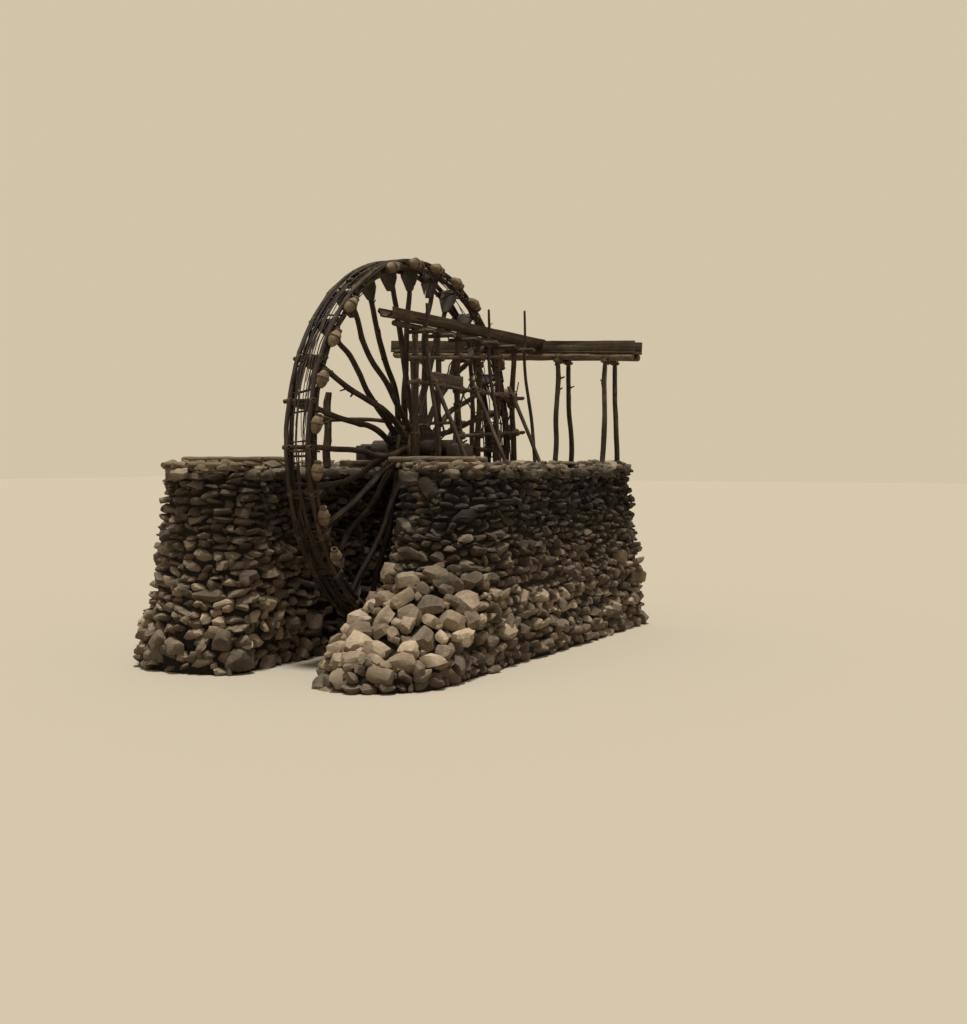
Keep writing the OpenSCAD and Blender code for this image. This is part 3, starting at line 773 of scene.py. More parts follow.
@dataclass
class PoleMaker:
    """Draws natural poles along centre lines.

    Attributes:
        sides: the vertices round a pole.
        ring_gap: the distance between rings, in metres.
        knot_gap: the mean distance between knots, in metres.
        knob: the height of a knot, as a share of the radius.
        stub: the chance that a knot keeps a stub of its branch.
        wander: small bends, as a share of the radius.
        most_rings: the most rings on a pole.
        chamfer: how far the edge of a sawn end is worn back, as a share of the radius.
        blanks: the straight logs made so far, by the number of their rings.
        stub_blank: the cone that a stub starts from, once it is made.
    """

    sides: int = 12
    ring_gap: float = 0.09
    knot_gap: float = 0.55
    knob: float = 0.35
    stub: float = 0.3
    wander: float = 0.16
    most_rings: int = 60
    chamfer: float = 0.08
    blanks: dict[int, Mesh] = field(default_factory=dict)
    stub_blank: Mesh | None = None

    def blank(self, rings: int) -> Mesh:
        """A straight log of unit size, with a ring cut inside each end.

        Args:
            rings: the number of cuts along it.

        Returns:
            The mesh, along Z from -0.5 to 0.5.
        """
        if rings not in self.blanks:
            bm = bmesh.new()
            bmesh.ops.create_cone(
                bm, cap_ends=True, cap_tris=False, segments=self.sides, radius1=1, radius2=1, depth=1
            )
            long = [e for e in bm.edges if abs(e.verts[0].co.z - e.verts[1].co.z) > 0.5]
            bmesh.ops.subdivide_edges(bm, edges=long, cuts=rings, use_grid_fill=True)
            caps = [f for f in bm.faces if len(f.verts) == self.sides]
            bmesh.ops.inset_region(bm, faces=caps, thickness=0.16, depth=0.0, use_even_offset=True)
            self.blanks[rings] = keep_mesh(bm, f"log_blank_{rings}")
        return self.blanks[rings]

    def draw(self, bm: BMesh, course: Course, seed: int, swell: float = 1.0) -> None:
        """Draws one pole into a bmesh.

        Args:
            bm: the bmesh that grows.
            course: the pole's centre line.
            seed: the seed of its knots and bends.
            swell: a factor on its radius.
        """
        chance = Random(seed)
        length = course.length()
        rings = min(max(int(length / self.ring_gap), 3), self.most_rings)
        layer = grain_layer(bm)
        new = append(bm, self.blank(rings))
        ref = ALONG_X if abs(course.side(0.0).z) > 0.7 else UP
        knots = [
            (chance.uniform(0.05, 0.95), chance.uniform(0, math.tau), chance.uniform(0.4, 1.0) * self.knob)
            for _ in range(max(1, int(length / self.knot_gap)))
        ]
        tilt = [(chance.uniform(-0.35, 0.35), chance.uniform(0, math.tau)) for _ in range(2)]
        shift = Vector([chance.uniform(-50, 50) for _ in range(3)])
        memo: dict[float, tuple[Vector, Vector, Vector, Vector, float]] = {}
        for v in new:
            t = v.co.z + 0.5
            key = round(t, 5)
            if key not in memo:
                axis = course.side(t)
                u = axis.cross(ref).normalized()
                here = course.at(t)
                r = course.radius(t) * swell
                fade = math.sin(math.pi * t)
                drift = noise.noise_vector(shift + here * 2.3) * r * self.wander * 2 * fade
                memo[key] = (here + drift, u, axis.cross(u), axis, r)
            here, u, w, axis, r = memo[key]
            turn = math.atan2(v.co.y, v.co.x)
            rim = math.hypot(v.co.x, v.co.y)
            out = u * math.cos(turn) + w * math.sin(turn)
            ring = Vector((math.cos(turn), math.sin(turn), t * length * 3))
            bulge = 1 + 0.1 * noise.noise(shift + ring * 1.1)
            for at, way, height in knots:
                gap = (t - at) * length / (0.75 * r + 0.02)
                if abs(gap) < 2.2:
                    bulge += height * math.exp(-gap * gap) * max(0.0, math.cos(turn - way)) ** 3
            place = here + out * r * rim * bulge
            if t < 0.001 or t > 0.999:
                lean, way = tilt[t > 0.5]
                place += axis * r * rim * lean * math.cos(turn - way)
                if rim > 0.95:
                    place -= out * r * self.chamfer
            v.co = place
            v[layer] = Vector((math.cos(turn) * r * rim, math.sin(turn) * r * rim, t * length)) + shift
        for at, way, _ in knots:
            if chance.random() < self.stub:
                axis = course.side(at)
                u = axis.cross(ref).normalized()
                out = u * math.cos(way) + axis.cross(u) * math.sin(way)
                r = course.radius(at) * swell
                foot = course.at(at) + out * r * 0.6
                reach = chance.uniform(0.7, 2.2) * r + r * 0.5
                lean = (out + axis * chance.uniform(0.2, 0.8)).normalized()
                self.break_off(bm, foot, lean, r * chance.uniform(0.28, 0.42), reach, shift)

    def break_off(
        self, bm: BMesh, foot: Vector, way: Vector, r: float, reach: float, shift: Vector
    ) -> None:
        """Draws the broken stub of a branch.

        Args:
            bm: the bmesh that grows.
            foot: the stub's foot, inside the pole.
            way: its direction.
            r: its radius.
            reach: its length.
            shift: the pole's offset in the grain pattern.
        """
        if not self.stub_blank:
            small = bmesh.new()
            up = Matrix.Translation((0, 0, 0.5))
            sizes = {"radius1": 1.25, "radius2": 0.7, "depth": 1}
            bmesh.ops.create_cone(small, cap_ends=True, cap_tris=False, segments=6, matrix=up, **sizes)
            self.stub_blank = keep_mesh(small, "stub_blank")
        layer = grain_layer(bm)
        turn = way.to_track_quat("Z", "Y").to_matrix()
        for v in append(bm, self.stub_blank):
            local = Vector((v.co.x * r, v.co.y * r, v.co.z * reach))
            v[layer] = local + shift
            v.co = foot + turn @ local


def rope_loop(
    bm: BMesh, place: Matrix, bend: float, r: float, run: float = 0.0, steps: int = 16
) -> None:
    """Draws a closed loop of rope.

    Args:
        bm: the bmesh that grows.
        place: the loop's frame; it lies in the XY plane.
        bend: the radius of its bends.
        r: the rope's radius.
        run: half the length of its straight runs, along X.
        steps: the steps round the loop.
    """
    small = bmesh.new()
    start = Matrix.Translation((bend, 0, 0)) @ Matrix.Rotation(math.pi / 2, 4, "X")
    ring = bmesh.ops.create_circle(small, segments=5, radius=r, matrix=start)["verts"]
    edges = list({e for v in ring for e in v.link_edges})
    bmesh.ops.spin(
        small, geom=ring + edges, cent=(0, 0, 0), axis=(0, 0, 1), angle=math.tau, steps=steps, use_merge=True
    )
    bmesh.ops.remove_doubles(small, verts=small.verts[:], dist=r * 0.01)
    bmesh.ops.recalc_face_normals(small, faces=small.faces[:])
    layer = grain_layer(small)
    for v in small.verts:
        turn = math.atan2(v.co.y, v.co.x)
        out = math.hypot(v.co.x, v.co.y) - bend
        v[layer] = Vector((out, v.co.z, turn * (bend + run * 0.6)))
        if abs(math.cos(turn)) > 0.05:
            v.co.x += math.copysign(run, v.co.x)
        v.co = place @ v.co
    mesh = keep_mesh(small, "rope_loop")
    append(bm, mesh)
    bpy.data.meshes.remove(mesh)


def lash(
    bm: BMesh,
    middle: Vector,
    across: Vector,
    ways: tuple[Vector, Vector],
    reach: float,
    width: float,
    seed: int,
) -> None:
    """Ties two or three crossed poles with rope in an X.

    Args:
        bm: the bmesh that grows.
        middle: the middle of the crossing.
        across: from one pole's axis to the other's.
        ways: the directions of the first pole and the second.
        reach: half the height of the stack, across, over the poles' outer sides.
        width: the larger pole's radius.
        seed: the seed of the turns' slack.
    """
    chance = Random(seed)
    x = across.normalized()
    bend = width * 1.32 + LASH_R
    run = max(reach + LASH_R - bend, 0.0)
    for sign in (-1, 1):
        diagonal = (ways[0] + ways[1] * sign).normalized()
        normal = x.cross(diagonal).normalized()
        turned = Matrix((x, diagonal, normal)).transposed().to_4x4()
        for n in range(LASH_TURNS):
            slip = (n - (LASH_TURNS - 1) / 2) * LASH_R * 2.1
            slack = Matrix.Rotation(chance.uniform(-0.08, 0.08), 4, "X")
            rope_loop(bm, Matrix.Translation(middle + normal * slip) @ turned @ slack, bend, LASH_R, run)


# Stone


def walk(loop: Sequence[Vector], reach: float) -> tuple[Vector, Vector, float]:
    """The span of a closed outline at a distance from its first corner.

    Args:
        loop: the corners.
        reach: the distance round the outline.

    Returns:
        The span's two ends, and the distance from the first of them.
    """
    spans = list(zip(loop, [*loop[1:], loop[0]]))
    k = 0
    while reach > (spans[k][1] - spans[k][0]).length and k < len(spans) - 1:
        reach -= (spans[k][1] - spans[k][0]).length
        k += 1
    return (*spans[k], reach)


def girth(loop: Sequence[Vector]) -> float:
    """The length of a closed outline."""
    return sum((b - a).length for a, b in zip(loop, [*loop[1:], loop[0]]))


@dataclass
class RubbleMason:
    """Breaks rough stones and lays them over a pier's faces.

    Attributes:
        master_count: how many different stones there are.
        breaks: the flat breaks on each.
        masters: the stones to copy from.
    """

    master_count: int = 26
    breaks: int = 7
    masters: list[Mesh] = field(default_factory=list)

    def cut_masters(self) -> None:
        """Breaks the master stones out of cubes: a few flat breaks over a lumpy body."""
        for seed in range(self.master_count):
            chance = Random(900 + seed)
            bm = bmesh.new()
            bmesh.ops.create_cube(bm, size=1.0)
            bmesh.ops.subdivide_edges(bm, edges=bm.edges[:], cuts=2, use_grid_fill=True)
            round_off = chance.uniform(0.25, 0.5)
            for v in bm.verts:
                v.co = v.co.lerp(v.co.normalized() * 0.56, round_off)
            for _ in range(self.breaks):
                way = Vector([chance.uniform(low, 1) for low in (-1, -1, -0.2)]).normalized()
                depth = chance.uniform(0.34, 0.46)
                for v in bm.verts:
                    over = v.co.dot(way) - depth
                    if over > 0:
                        v.co -= way * over
            shift = Vector((seed * 3.1, 7.7, 1.3))
            for v in bm.verts:
                v.co += noise.noise_vector(v.co * 3.1 + shift) * 0.06
            self.masters.append(keep_mesh(bm, f"stone_master_{seed}"))

    def lay(
        self,
        bm: BMesh,
        place: Vector,
        turn: Matrix,
        size: Vector,
        chance: Random,
        loose: float,
        tone: float | None = None,
    ) -> None:
        """Lays one stone.

        Args:
            bm: the bmesh that grows.
            place: the stone's middle.
            turn: its frame: X along the course, Y up the face, Z outwards.
            size: its size in that frame.
            chance: the source of chance.
            loose: how far it may be turned out of line, in radians.
            tone: its tone, if it isn't left to chance.
        """
        mesh = self.masters[chance.randrange(len(self.masters))]
        spin = Matrix.Identity(3)
        for axis in "ZXY":
            spin = spin @ Matrix.Rotation(chance.gauss(0, loose), 3, axis)
        half_turn = Matrix.Rotation(math.pi * chance.randrange(2), 3, "Z")
        whole = turn @ spin @ Matrix.Diagonal(size) @ half_turn
        layer = tone_layer(bm)
        new = append(bm, mesh)
        value = 0.03 + 0.94 * chance.random() ** 1.5 if tone is None else tone
        lo, hi = cad_box
        moved = [place + whole @ v.co for v in new]
        slip = Vector((0, 0, 0))
        for axis in (0, 1):
            reach = [p[axis] for p in moved]
            slip[axis] = max(0.0, lo[axis] + 0.002 - min(reach)) - max(0.0, max(reach) - hi[axis] + 0.002)
        for v, p in zip(new, moved):
            v.co = Vector((p.x + slip.x, p.y + slip.y, max(p.z, 0.0)))
            v[layer] = value

    def outline(self, pier: BMesh, z: float) -> list[Vector]:
        """The outline of a pier at a height, anticlockwise from above.

        Args:
            pier: the pier's solid.
            z: the height.

        Returns:
            The corners, in order.
        """
        cut = pier.copy()
        geom = cut.verts[:] + cut.edges[:] + cut.faces[:]
        made = bmesh.ops.bisect_plane(cut, geom=geom, plane_co=(0, 0, z), plane_no=(0, 0, 1))["geom_cut"]
        links: dict[BMVert, list[BMVert]] = {}
        for e in made:
            if isinstance(e, BMEdge):
                a, b = e.verts
                links.setdefault(a, []).append(b)
                links.setdefault(b, []).append(a)
        start = next(iter(links))
        loop, last, here = [start], None, start
        while True:
            step = [v for v in links[here] if v is not last]
            if not step or step[0] is start:
                break
            last, here = here, step[0]
            loop.append(here)
        points = [v.co.copy() for v in loop]
        cut.free()
        area = sum(a.x * b.y - b.x * a.y for a, b in zip(points, points[1:] + points[:1]))
        return points if area > 0 else points[::-1]


@dataclass
class Pier:
    """A dry stone pier: an earth core, coursed stones, a paved top and boulders down the slope of its nose.

    Attributes:
        side: left or right, as in the node's name.
        mason: the mason that lays the stones.
        seed: the seed of the stones.
        way: 1 where the pier lies on the +Y side of the wheel, -1 where it lies on the other.
        low_course: the height of a course at the foot.
        high_course: the height of a course at the top, where flat stones lie.
        low_stone: the mean width of a stone at the foot.
        high_stone: the mean width of a stone at the top.
        deep: the depth of a stone.
        joint: the depth of the joints.
        fill: how much of its place in the course a stone takes.
        chip: the size of the small stones wedged into the joints.
        slab: the mean width, depth and thickness of a paving stone.
        crown_rows: for each row of loose stones, how far it lies inside the edge, and its height on the top.
        strewn: how many more stones are thrown on the top, where they find room.
        boulders: for each size of boulder, its least and largest width, and how often a place is tried.
    """

    side: str
    mason: RubbleMason
    seed: int
    way: int
    low_course: float = 0.175
    high_course: float = 0.1
    low_stone: float = 0.235
    high_stone: float = 0.22
    deep: float = 0.27
    joint: float = 0.12
    fill: float = 0.9
    chip: tuple[float, float, float] = (0.1, 0.07, 0.12)
    slab: tuple[float, float, float] = (0.25, 0.2, 0.17)
    crown_rows: tuple[tuple[float, float], ...] = ((0.1, 0.035), (0.3, 0.05), (0.17, 0.095), (0.5, 0.03))
    strewn: int = 90
    boulders: tuple[tuple[float, float, int], ...] = (
        (0.26, 0.38, 1500),
        (0.18, 0.26, 2500),
        (0.1, 0.16, 3000),
    )

    def __post_init__(self) -> None:
        """Reads the pier's solid from the frame."""
        self.node = f"{self.side}_pier"
        self.solid = cad_mesh(self.node)
        self.solid.normal_update()
        self.lo, self.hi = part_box(self.node)
        self.tree = BVHTree.FromBMesh(self.solid)

    def build(self) -> None:
        """Builds every piece of the pier."""
        self.core()
        self.faces()
        self.top()
        self.crown()
        self.toe()
        self.solid.free()

    def finish(self, bm: BMesh, name: str) -> None:
        """Finishes a piece made of stones."""
        finish_piece(bm, f"{self.node}_{name}", FIELD_STONE, Body.STATION, sharp=32)

    def drop(self, chance: Random) -> tuple[Vector | None, Vector | None]:
        """Where a stone dropped over the pier comes to lie.

        Args:
            chance: the source of chance.

        Returns:
            The point and the slope's normal, or twice nothing beside the pier.
        """
        x, y = chance.uniform(self.lo.x, self.hi.x), chance.uniform(self.lo.y, self.hi.y)
        return self.tree.ray_cast(Vector((x, y, self.hi.z + 1)), -UP)[:2]

    def core(self) -> None:
        """The earth and spalls behind the stones, as far in as the joints are deep, painted nearly black as
        painted shade.
        """
        bm = self.solid.copy()
        moves = {v: v.normal.copy() for v in bm.verts}
        for v, n in moves.items():
            floor = v.co.z < 0.001
            v.co -= Vector((n.x, n.y, 0 if floor else n.z)) * self.joint
        finish_piece(bm, f"{self.node}_core", EARTH_AND_PAINTED_SHADE, Body.STATION, nodes=[self.node], sharp=60)

    def faces(self) -> None:
        """The stones of the upright faces, course by course round the pier."""
        chance = Random(self.seed)
        panels = {"race": bmesh.new(), "outer": bmesh.new(), "ends": bmesh.new()}
        z = 0.0
        while z < self.hi.z - 0.04:
            t = z / self.hi.z
            thick = self.low_course + (self.high_course - self.low_course) * t**0.7
            high = thick * chance.uniform(0.85, 1.18)
            mean = self.low_stone + (self.high_stone - self.low_stone) * t
            self.course(min(z + high / 2, self.hi.z - 0.045), high, mean, chance, panels)
            z += high * 0.97
        for name, bm in panels.items():
            self.finish(bm, f"{name}_stones")

    def course(
        self, z: float, high: float, mean: float, chance: Random, panels: dict[str, BMesh]
    ) -> None:
        """Lays one course of stones.

        Args:
            z: the course's middle height.
            high: the course's height.
            mean: the mean width of its stones.
            chance: the source of chance.
            panels: the bmeshes of the race face, the outer face and the ends.
        """
        loop = self.mason.outline(self.solid, z)
        total = girth(loop)
        share = z / self.hi.z
        loose = 0.24 - 0.13 * share
        level = 0.012 + 0.03 * max(0.0, 1 - 1.4 * z / self.hi.z)
        at = chance.uniform(0, 0.2)
        while at < total:
            wide = mean * min(max(chance.gauss(1.0, 0.36), 0.45), 2.0)
            a, b, here = walk(loop, (at + wide / 2) % total)
            point = a.lerp(b, here / (b - a).length) if (b - a).length else a.copy()
            rolling = Vector((point.x * 0.9, point.y * 0.9, z * 1.3 + self.seed))
            wave = noise.noise(rolling) * min(0.12, z * 0.4)
            point.z = min(max(z + wave + chance.gauss(0, level), 0.05), self.hi.z - 0.05)
            found, normal, _, _ = self.tree.find_nearest(point)
            at += wide
            if normal.z > 0.62:
                continue
            out = Vector((normal.x, normal.y, normal.z * 0.4)).normalized()
            tangent = (b - a).normalized()
            tangent = (tangent - out * tangent.dot(out)).normalized()
            turn = Matrix((tangent, out.cross(tangent), out)).transposed()
            tall = high * chance.uniform(0.66, 1.25)
            deep = self.deep * chance.uniform(0.85, 1.15)
            proud = chance.uniform(-0.065, 0.03)
            size = Vector((wide * self.fill, tall, deep))
            if chance.random() < 0.12 * (1 - share):
                size, proud = Vector((wide * 1.2, tall * 1.6, deep)), 0.03
            name = "ends" if abs(out.y) < 0.75 else ("outer" if out.y * self.way > 0 else "race")
            self.mason.lay(panels[name], found + out * (proud - deep * 0.42), turn, size, chance, loose)
            if chance.random() < 0.3:
                up = Vector((0, 0, chance.uniform(-0.5, 0.5) * high))
                chip = found + tangent * wide * 0.5 + up - out * 0.09
                size = Vector(self.chip) * chance.uniform(0.8, 1.2)
                self.mason.lay(panels[name], chip, turn, size, chance, 0.4, chance.uniform(0.05, 0.35))

    def top(self) -> None:
        """The paving of the pier's top."""
        chance = Random(self.seed + 7)
        bm = bmesh.new()
        y = self.lo.y
        while y < self.hi.y:
            step = self.slab[1] * chance.uniform(0.85, 1.15)
            x = self.lo.x + chance.uniform(0, 0.2)
            while x < self.hi.x:
                wide = self.slab[0] * min(max(chance.gauss(1.0, 0.3), 0.6), 1.8)
                spot = Vector((x + wide / 2, y + step / 2 + chance.gauss(0, 0.025), self.hi.z + 1))
                found = self.tree.ray_cast(spot, -UP)[0]
                if found and found.z > self.hi.z - 0.01:
                    size = Vector((wide * 1.08, step * 1.15, self.slab[2]))
                    sunk = found - UP * (0.075 + chance.uniform(0.0, 0.04))
                    self.mason.lay(bm, sunk, Matrix.Identity(3), size, chance, 0.07)
                x += wide
            y += step
        self.finish(bm, "top_stones")

    def crown(self) -> None:
        """Loose stones on the top, along its outer edge and its nose."""
        chance = Random(self.seed + 29)
        bm = bmesh.new()
        edge = self.hi.y if self.way > 0 else self.lo.y
        loop = self.mason.outline(self.solid, self.hi.z - 0.02)
        total = girth(loop)
        middle = sum(loop, Vector()) / len(loop)
        for row, (inward, lift) in enumerate(self.crown_rows):
            at = chance.uniform(0, 0.2)
            while at < total:
                wide = chance.uniform(0.14, 0.34)
                a, b, here = walk(loop, at)
                along = (b - a).normalized()
                into = Vector((-along.y, along.x, 0))
                spot = a + along * here + into * (inward + chance.gauss(0, 0.04))
                at += wide * (1.0 if row < 2 else 1.6)
                if abs(spot.y - edge) > 0.9 and spot.x > middle.x - 2.2:
                    continue
                spot.z = self.hi.z + lift - 0.03
                turn = Matrix((along, into, UP)).transposed()
                size = Vector((wide, wide * chance.uniform(0.6, 0.9), chance.uniform(0.07, 0.12)))
                self.mason.lay(bm, spot, turn, size, chance, 0.12)
        for _ in range(self.strewn):
            found, _ = self.drop(chance)
            wide = chance.uniform(0.09, 0.24)
            if found and found.z > self.hi.z - 0.01 and abs(found.y) > 0.75:
                lift = UP * chance.uniform(0.0, 0.02)
                size = Vector((wide, wide * 0.75, wide * 0.42))
                self.mason.lay(bm, found + lift, Matrix.Identity(3), size, chance, 0.5)
        self.finish(bm, "loose_stones")

    def toe(self) -> None:
        """Boulders on every slope, down to the foot of the nose."""
        chance = Random(self.seed + 13)
        bm = bmesh.new()
        laid: list[tuple[Vector, float]] = []
        for low, high, tries in self.boulders:
            for _ in range(tries):
                wide = chance.uniform(low, high)
                found, normal = self.drop(chance)
                if not found or found.z > self.hi.z - 0.1 or normal.z < 0.5:
                    continue
                if any((found - p).length < 0.47 * (wide + w) for p, w in laid):
                    continue
                laid.append((found, wide))
                lean = (normal + UP * 0.6).normalized()
                side = Vector((math.cos(wide * 90), math.sin(wide * 90), 0))
                side = (side - lean * side.dot(lean)).normalized()
                turn = Matrix((side, lean.cross(side), lean)).transposed()
                size = Vector((wide * 1.2, wide * 0.95, wide * 0.68))
                sunk = found - normal * wide * 0.12
                self.mason.lay(bm, sunk, turn, size, chance, 0.28, chance.uniform(0.3, 0.97))
        self.finish(bm, "boulders")


# Timber


def hewn_copy(node: str, bevel: float, wander: float, seed: int, along: Vector) -> BMesh:
    """A hand-hewn copy of a CAD timber.

    Args:
        node: the CAD node.
        bevel: the width of its worn edges, in metres.
        wander: how far its surface wanders, in metres.
        seed: the seed of the wander.
        along: the direction of the grain.

    Returns:
        The bmesh, with its grain layer.
    """
    bm = cad_mesh(node, flat=True)
    ease_edges(bm, bevel, segments=2)

    def too_long(e: BMEdge) -> bool:
        """Whether an edge along the grain is too long."""
        way = (e.verts[0].co - e.verts[1].co).normalized()
        return e.calc_length() > HEWN_EDGE and abs(way.dot(along)) > 0.8

    halve_long(bm, 8, too_long)
    layer = grain_layer(bm)
    axis = along.normalized()
    side = axis.cross(UP if abs(axis.z) < 0.9 else ALONG_X).normalized()
    up = side.cross(axis)
    shift = Vector((seed * 1.7, seed * 0.9, seed * 2.3))
    for v in bm.verts:
        v[layer] = Vector((v.co.dot(side), v.co.dot(up), v.co.dot(axis))) + shift
        dent = -v.normal * abs(noise.noise(v.co * 3.0 + shift)) * wander
        v.co += dent + noise.noise_vector(v.co * 0.9 + shift) * wander * 0.4
    return bm


@dataclass
class Bearings:
    """The sills on the piers and the notched blocks that carry the journals.

    Attributes:
        sill_wear: the width of a sill's worn edges.
        block_wear: the width of a block's worn edges.
    """

    sill_wear: float = 0.014
    block_wear: float = 0.008

    def build(self) -> None:
        """Builds both sides."""
        for n, side in enumerate(("left", "right")):
            node = f"{side}_sill"
            sill = hewn_copy(node, self.sill_wear, 0.006, 31 + n, ALONG_X)
            finish_piece(sill, f"{node}_timber", HEWN_BEAMS, Body.STATION, [node])
            node = f"{side}_bearing"
            block = hewn_copy(node, self.block_wear, 0.003, 41 + n, ALONG_X)
            finish_piece(block, f"{node}_block", AXLE_WOOD, Body.STATION, [node])


@dataclass
class PoleGroup:
    """Natural poles drawn along the poles of one CAD node.

    Attributes:
        node: the CAD node.
        name: the piece's name.
        seed: the seed of the first pole.
        maker: the pole maker.
        finish: the finish.
        slot: the record's slot; not used.
        body: the body that carries it.
    """

    node: str
    name: str
    seed: int
    maker: PoleMaker
    finish: WoodFinish = FRAME_POLES
    slot: Slot = Slot.FRAME
    body: Body = Body.STATION

    def build(self) -> list[Course]:
        """Builds the piece.

        Returns:
            The poles' centre lines.
        """
        courses = read_courses(self.node)
        bm = bmesh.new()
        for i, course in enumerate(courses):
            self.maker.draw(bm, course, self.seed + i)
        finish_piece(bm, self.name, self.finish, self.body, [self.node], sharp=50)
        return courses


@dataclass
class TroughFrame:
    """The hollow log, what carries it, and the ties between its poles.

    Attributes:
        maker: the pole maker.
        groups: the CAD node, the piece's name and the first seed of each group of poles.
        brace_places: for each branch, the post and share of its height at both ends, then 1 on the outer
            or -1 on the inner side of the posts, and its radius.
        brace_points: the spans along a branch.
        mouth: the length of the trough's broken end.
        board: how far the rail's board reaches past the two posts together, its thickness and its height.
    """

    maker: PoleMaker
    groups: tuple[tuple[str, str, int], ...] = (
        ("trough_posts", "trough_post_poles", 100),
        ("upper_rail", "upper_rail_pole", 130),
        ("mid_rail", "mid_rail_pole", 131),
        ("lower_rail", "lower_rail_pole", 132),
        ("trough_props", "trough_prop_poles", 140),
        ("trough_stays", "trough_stay_poles", 150),
        ("trough_bearers", "trough_bearer_poles", 160),
        ("trough_beam", "trough_beam_pole", 170),
    )
    brace_places: tuple[tuple[int, float, int, float, int, float], ...] = (
        (0, 0.24, 1, 0.86, -1, 0.02),
        (1, 0.34, 0, 0.78, 1, 0.017),
        (1, 0.58, 2, 0.9, -1, 0.016),
        (2, 0.3, 1, 0.12, -1, 0.018),
        (2, 0.5, 3, 0.84, 1, 0.017),
        (3, 0.42, 2, 0.72, -1, 0.015),
        (3, 0.14, 4, 0.4, -1, 0.019),
        (4, 0.55, 3, 0.93, -1, 0.016),
        (4, 0.2, 5, 0.66, 1, 0.02),
        (5, 0.5, 4, 0.8, -1, 0.016),
    )
    brace_points: int = 8
    mouth: float = 0.13
    board: tuple[float, float, float] = (0.36, 0.028, 0.17)

    def build(self) -> None:
        """Builds every piece of the frame."""
        made = {node: PoleGroup(node, name, seed, self.maker).build() for node, name, seed in self.groups}
        posts, bearers = made["trough_posts"], made["trough_bearers"]
        rails = made["upper_rail"] + made["mid_rail"] + made["lower_rail"]
        self.trough()
        self.plank(rails[1])
        rails += self.braces(posts)
        crossings = (
            (posts, rails),
            (made["trough_props"], rails),
            (made["trough_stays"], bearers),
            (posts, bearers),
        )
        bm = bmesh.new()
        count = tie_crossings(bm, [(a, b) for first, second in crossings for a in first for b in second], 400)
        finish_piece(bm, "trough_frame_ties", ROPE, Body.STATION)
        log.info("trough frame: %d ties", count)

    def trough(self) -> None:
        """The hollowed log, furrowed along its grain and ragged at its mouth."""
        bm = hewn_copy("trough", 0.004, 0.006, 5, Vector((1, 0, -0.0096)))
        bmesh.ops.subdivide_edges(bm, edges=bm.edges[:], cuts=1, use_grid_fill=True)
        bm.normal_update()
        near = min(v.co.x for v in bm.verts)
        for v in bm.verts:
            c = v.co
            furrow = 1 - abs(noise.noise(Vector((c.x * 1.1, c.y * 24, c.z * 24)))) * 2.2
            v.co -= v.normal * (0.004 + 0.012 * max(0.0, furrow) ** 2)
            if c.x < near + self.mouth:
                ragged = max(0.0, 0.25 + noise.noise(Vector((c.y * 14, c.z * 17, 2.0))))
                v.co.x += 0.11 * ragged * (1 - (c.x - near) / self.mouth)
        finish_piece(bm, "trough_log", TROUGH_WOOD, Body.STATION, ["trough"], sharp=45)

    def braces(self, posts: Sequence[Course]) -> list[Course]:
        """Thin crooked branches tied across the bays between the posts.

        Args:
            posts: the posts, from the near one.

        Returns:
            The branches' centre lines.
        """
        maker = PoleMaker(sides=8, ring_gap=0.06, knot_gap=0.28, stub=0.75, knob=0.45, wander=0.35)
        bm = bmesh.new()
        courses = []
        for n, (a, low, b, high, side, r) in enumerate(self.brace_places):
            chance = Random(1500 + n)
            ends = []
            for post, share in ((posts[a], low), (posts[b], high)):
                p = post.at(share)
                ends.append(Vector((p.x, p.y - side * (post.radius(share) + r * 0.9), p.z)))
            way = (ends[1] - ends[0]).normalized()
            ends = [ends[0] - way * chance.uniform(0.06, 0.2), ends[1] + way * chance.uniform(0.1, 0.32)]
            sag = way.cross(Vector((0, 1, 0))) * chance.uniform(-0.12, 0.12)
            points, radii = [], []
            for i in range(self.brace_points + 1):
                t = i / self.brace_points
                kink = Vector()
                if 0 < t < 1:
                    kink = Vector((chance.gauss(0, 0.014), chance.gauss(0, 0.004), chance.gauss(0, 0.014)))
                points.append(ends[0].lerp(ends[1], t) + sag * math.sin(math.pi * t) + kink)
                radii.append(r * (1 - 0.45 * t))
            courses.append(Course(tuple(points), tuple(radii)))
            maker.draw(bm, courses[-1], 1520 + n)
        finish_piece(bm, "trough_brace_branches", FRAME_POLES, Body.STATION, sharp=50)
        return courses

    def plank(self, rail: Course) -> None:
        """A rough board on edge on the mid rail, against two posts.

        Args:
            rail: the mid rail.
        """
        ends = [rail.at((i + 0.82) / (len(rail.points) - 1)) for i in (1, 2)]
        along = (ends[1] - ends[0]).normalized()
        side = Vector((-along.y, along.x, 0)).normalized()
        up = along.cross(side)
        past, thick, tall = self.board
        size = Vector(((ends[1] - ends[0]).length + past, thick, tall))
        middle = sum(ends, Vector()) / 2 + UP * (rail.radius(0.4) + size.z / 2) - side * 0.004
        turn = Matrix((along, side, up)).transposed().to_4x4()
        bm = bmesh.new()
        matrix = Matrix.Translation(middle) @ turn @ Matrix.Diagonal((*size, 1))
        bmesh.ops.create_cube(bm, size=1.0, matrix=matrix)
        ease_edges(bm, 0.005)
        halve_long(bm, 4, lambda e: e.calc_length() > 0.07)
        layer = grain_layer(bm)
        for v in bm.verts:
            rel = v.co - middle
            v[layer] = Vector((rel.dot(side), rel.dot(up), rel.dot(along)))
            lift = up * 0.02 * noise.noise(Vector((rel.dot(along) * 3, rel.z * 2, 4.0)))
            v.co += lift + side * 0.004 * noise.noise(v.co * 9)
        finish_piece(bm, "mid_rail_board", TROUGH_WOOD, Body.STATION, sharp=45)


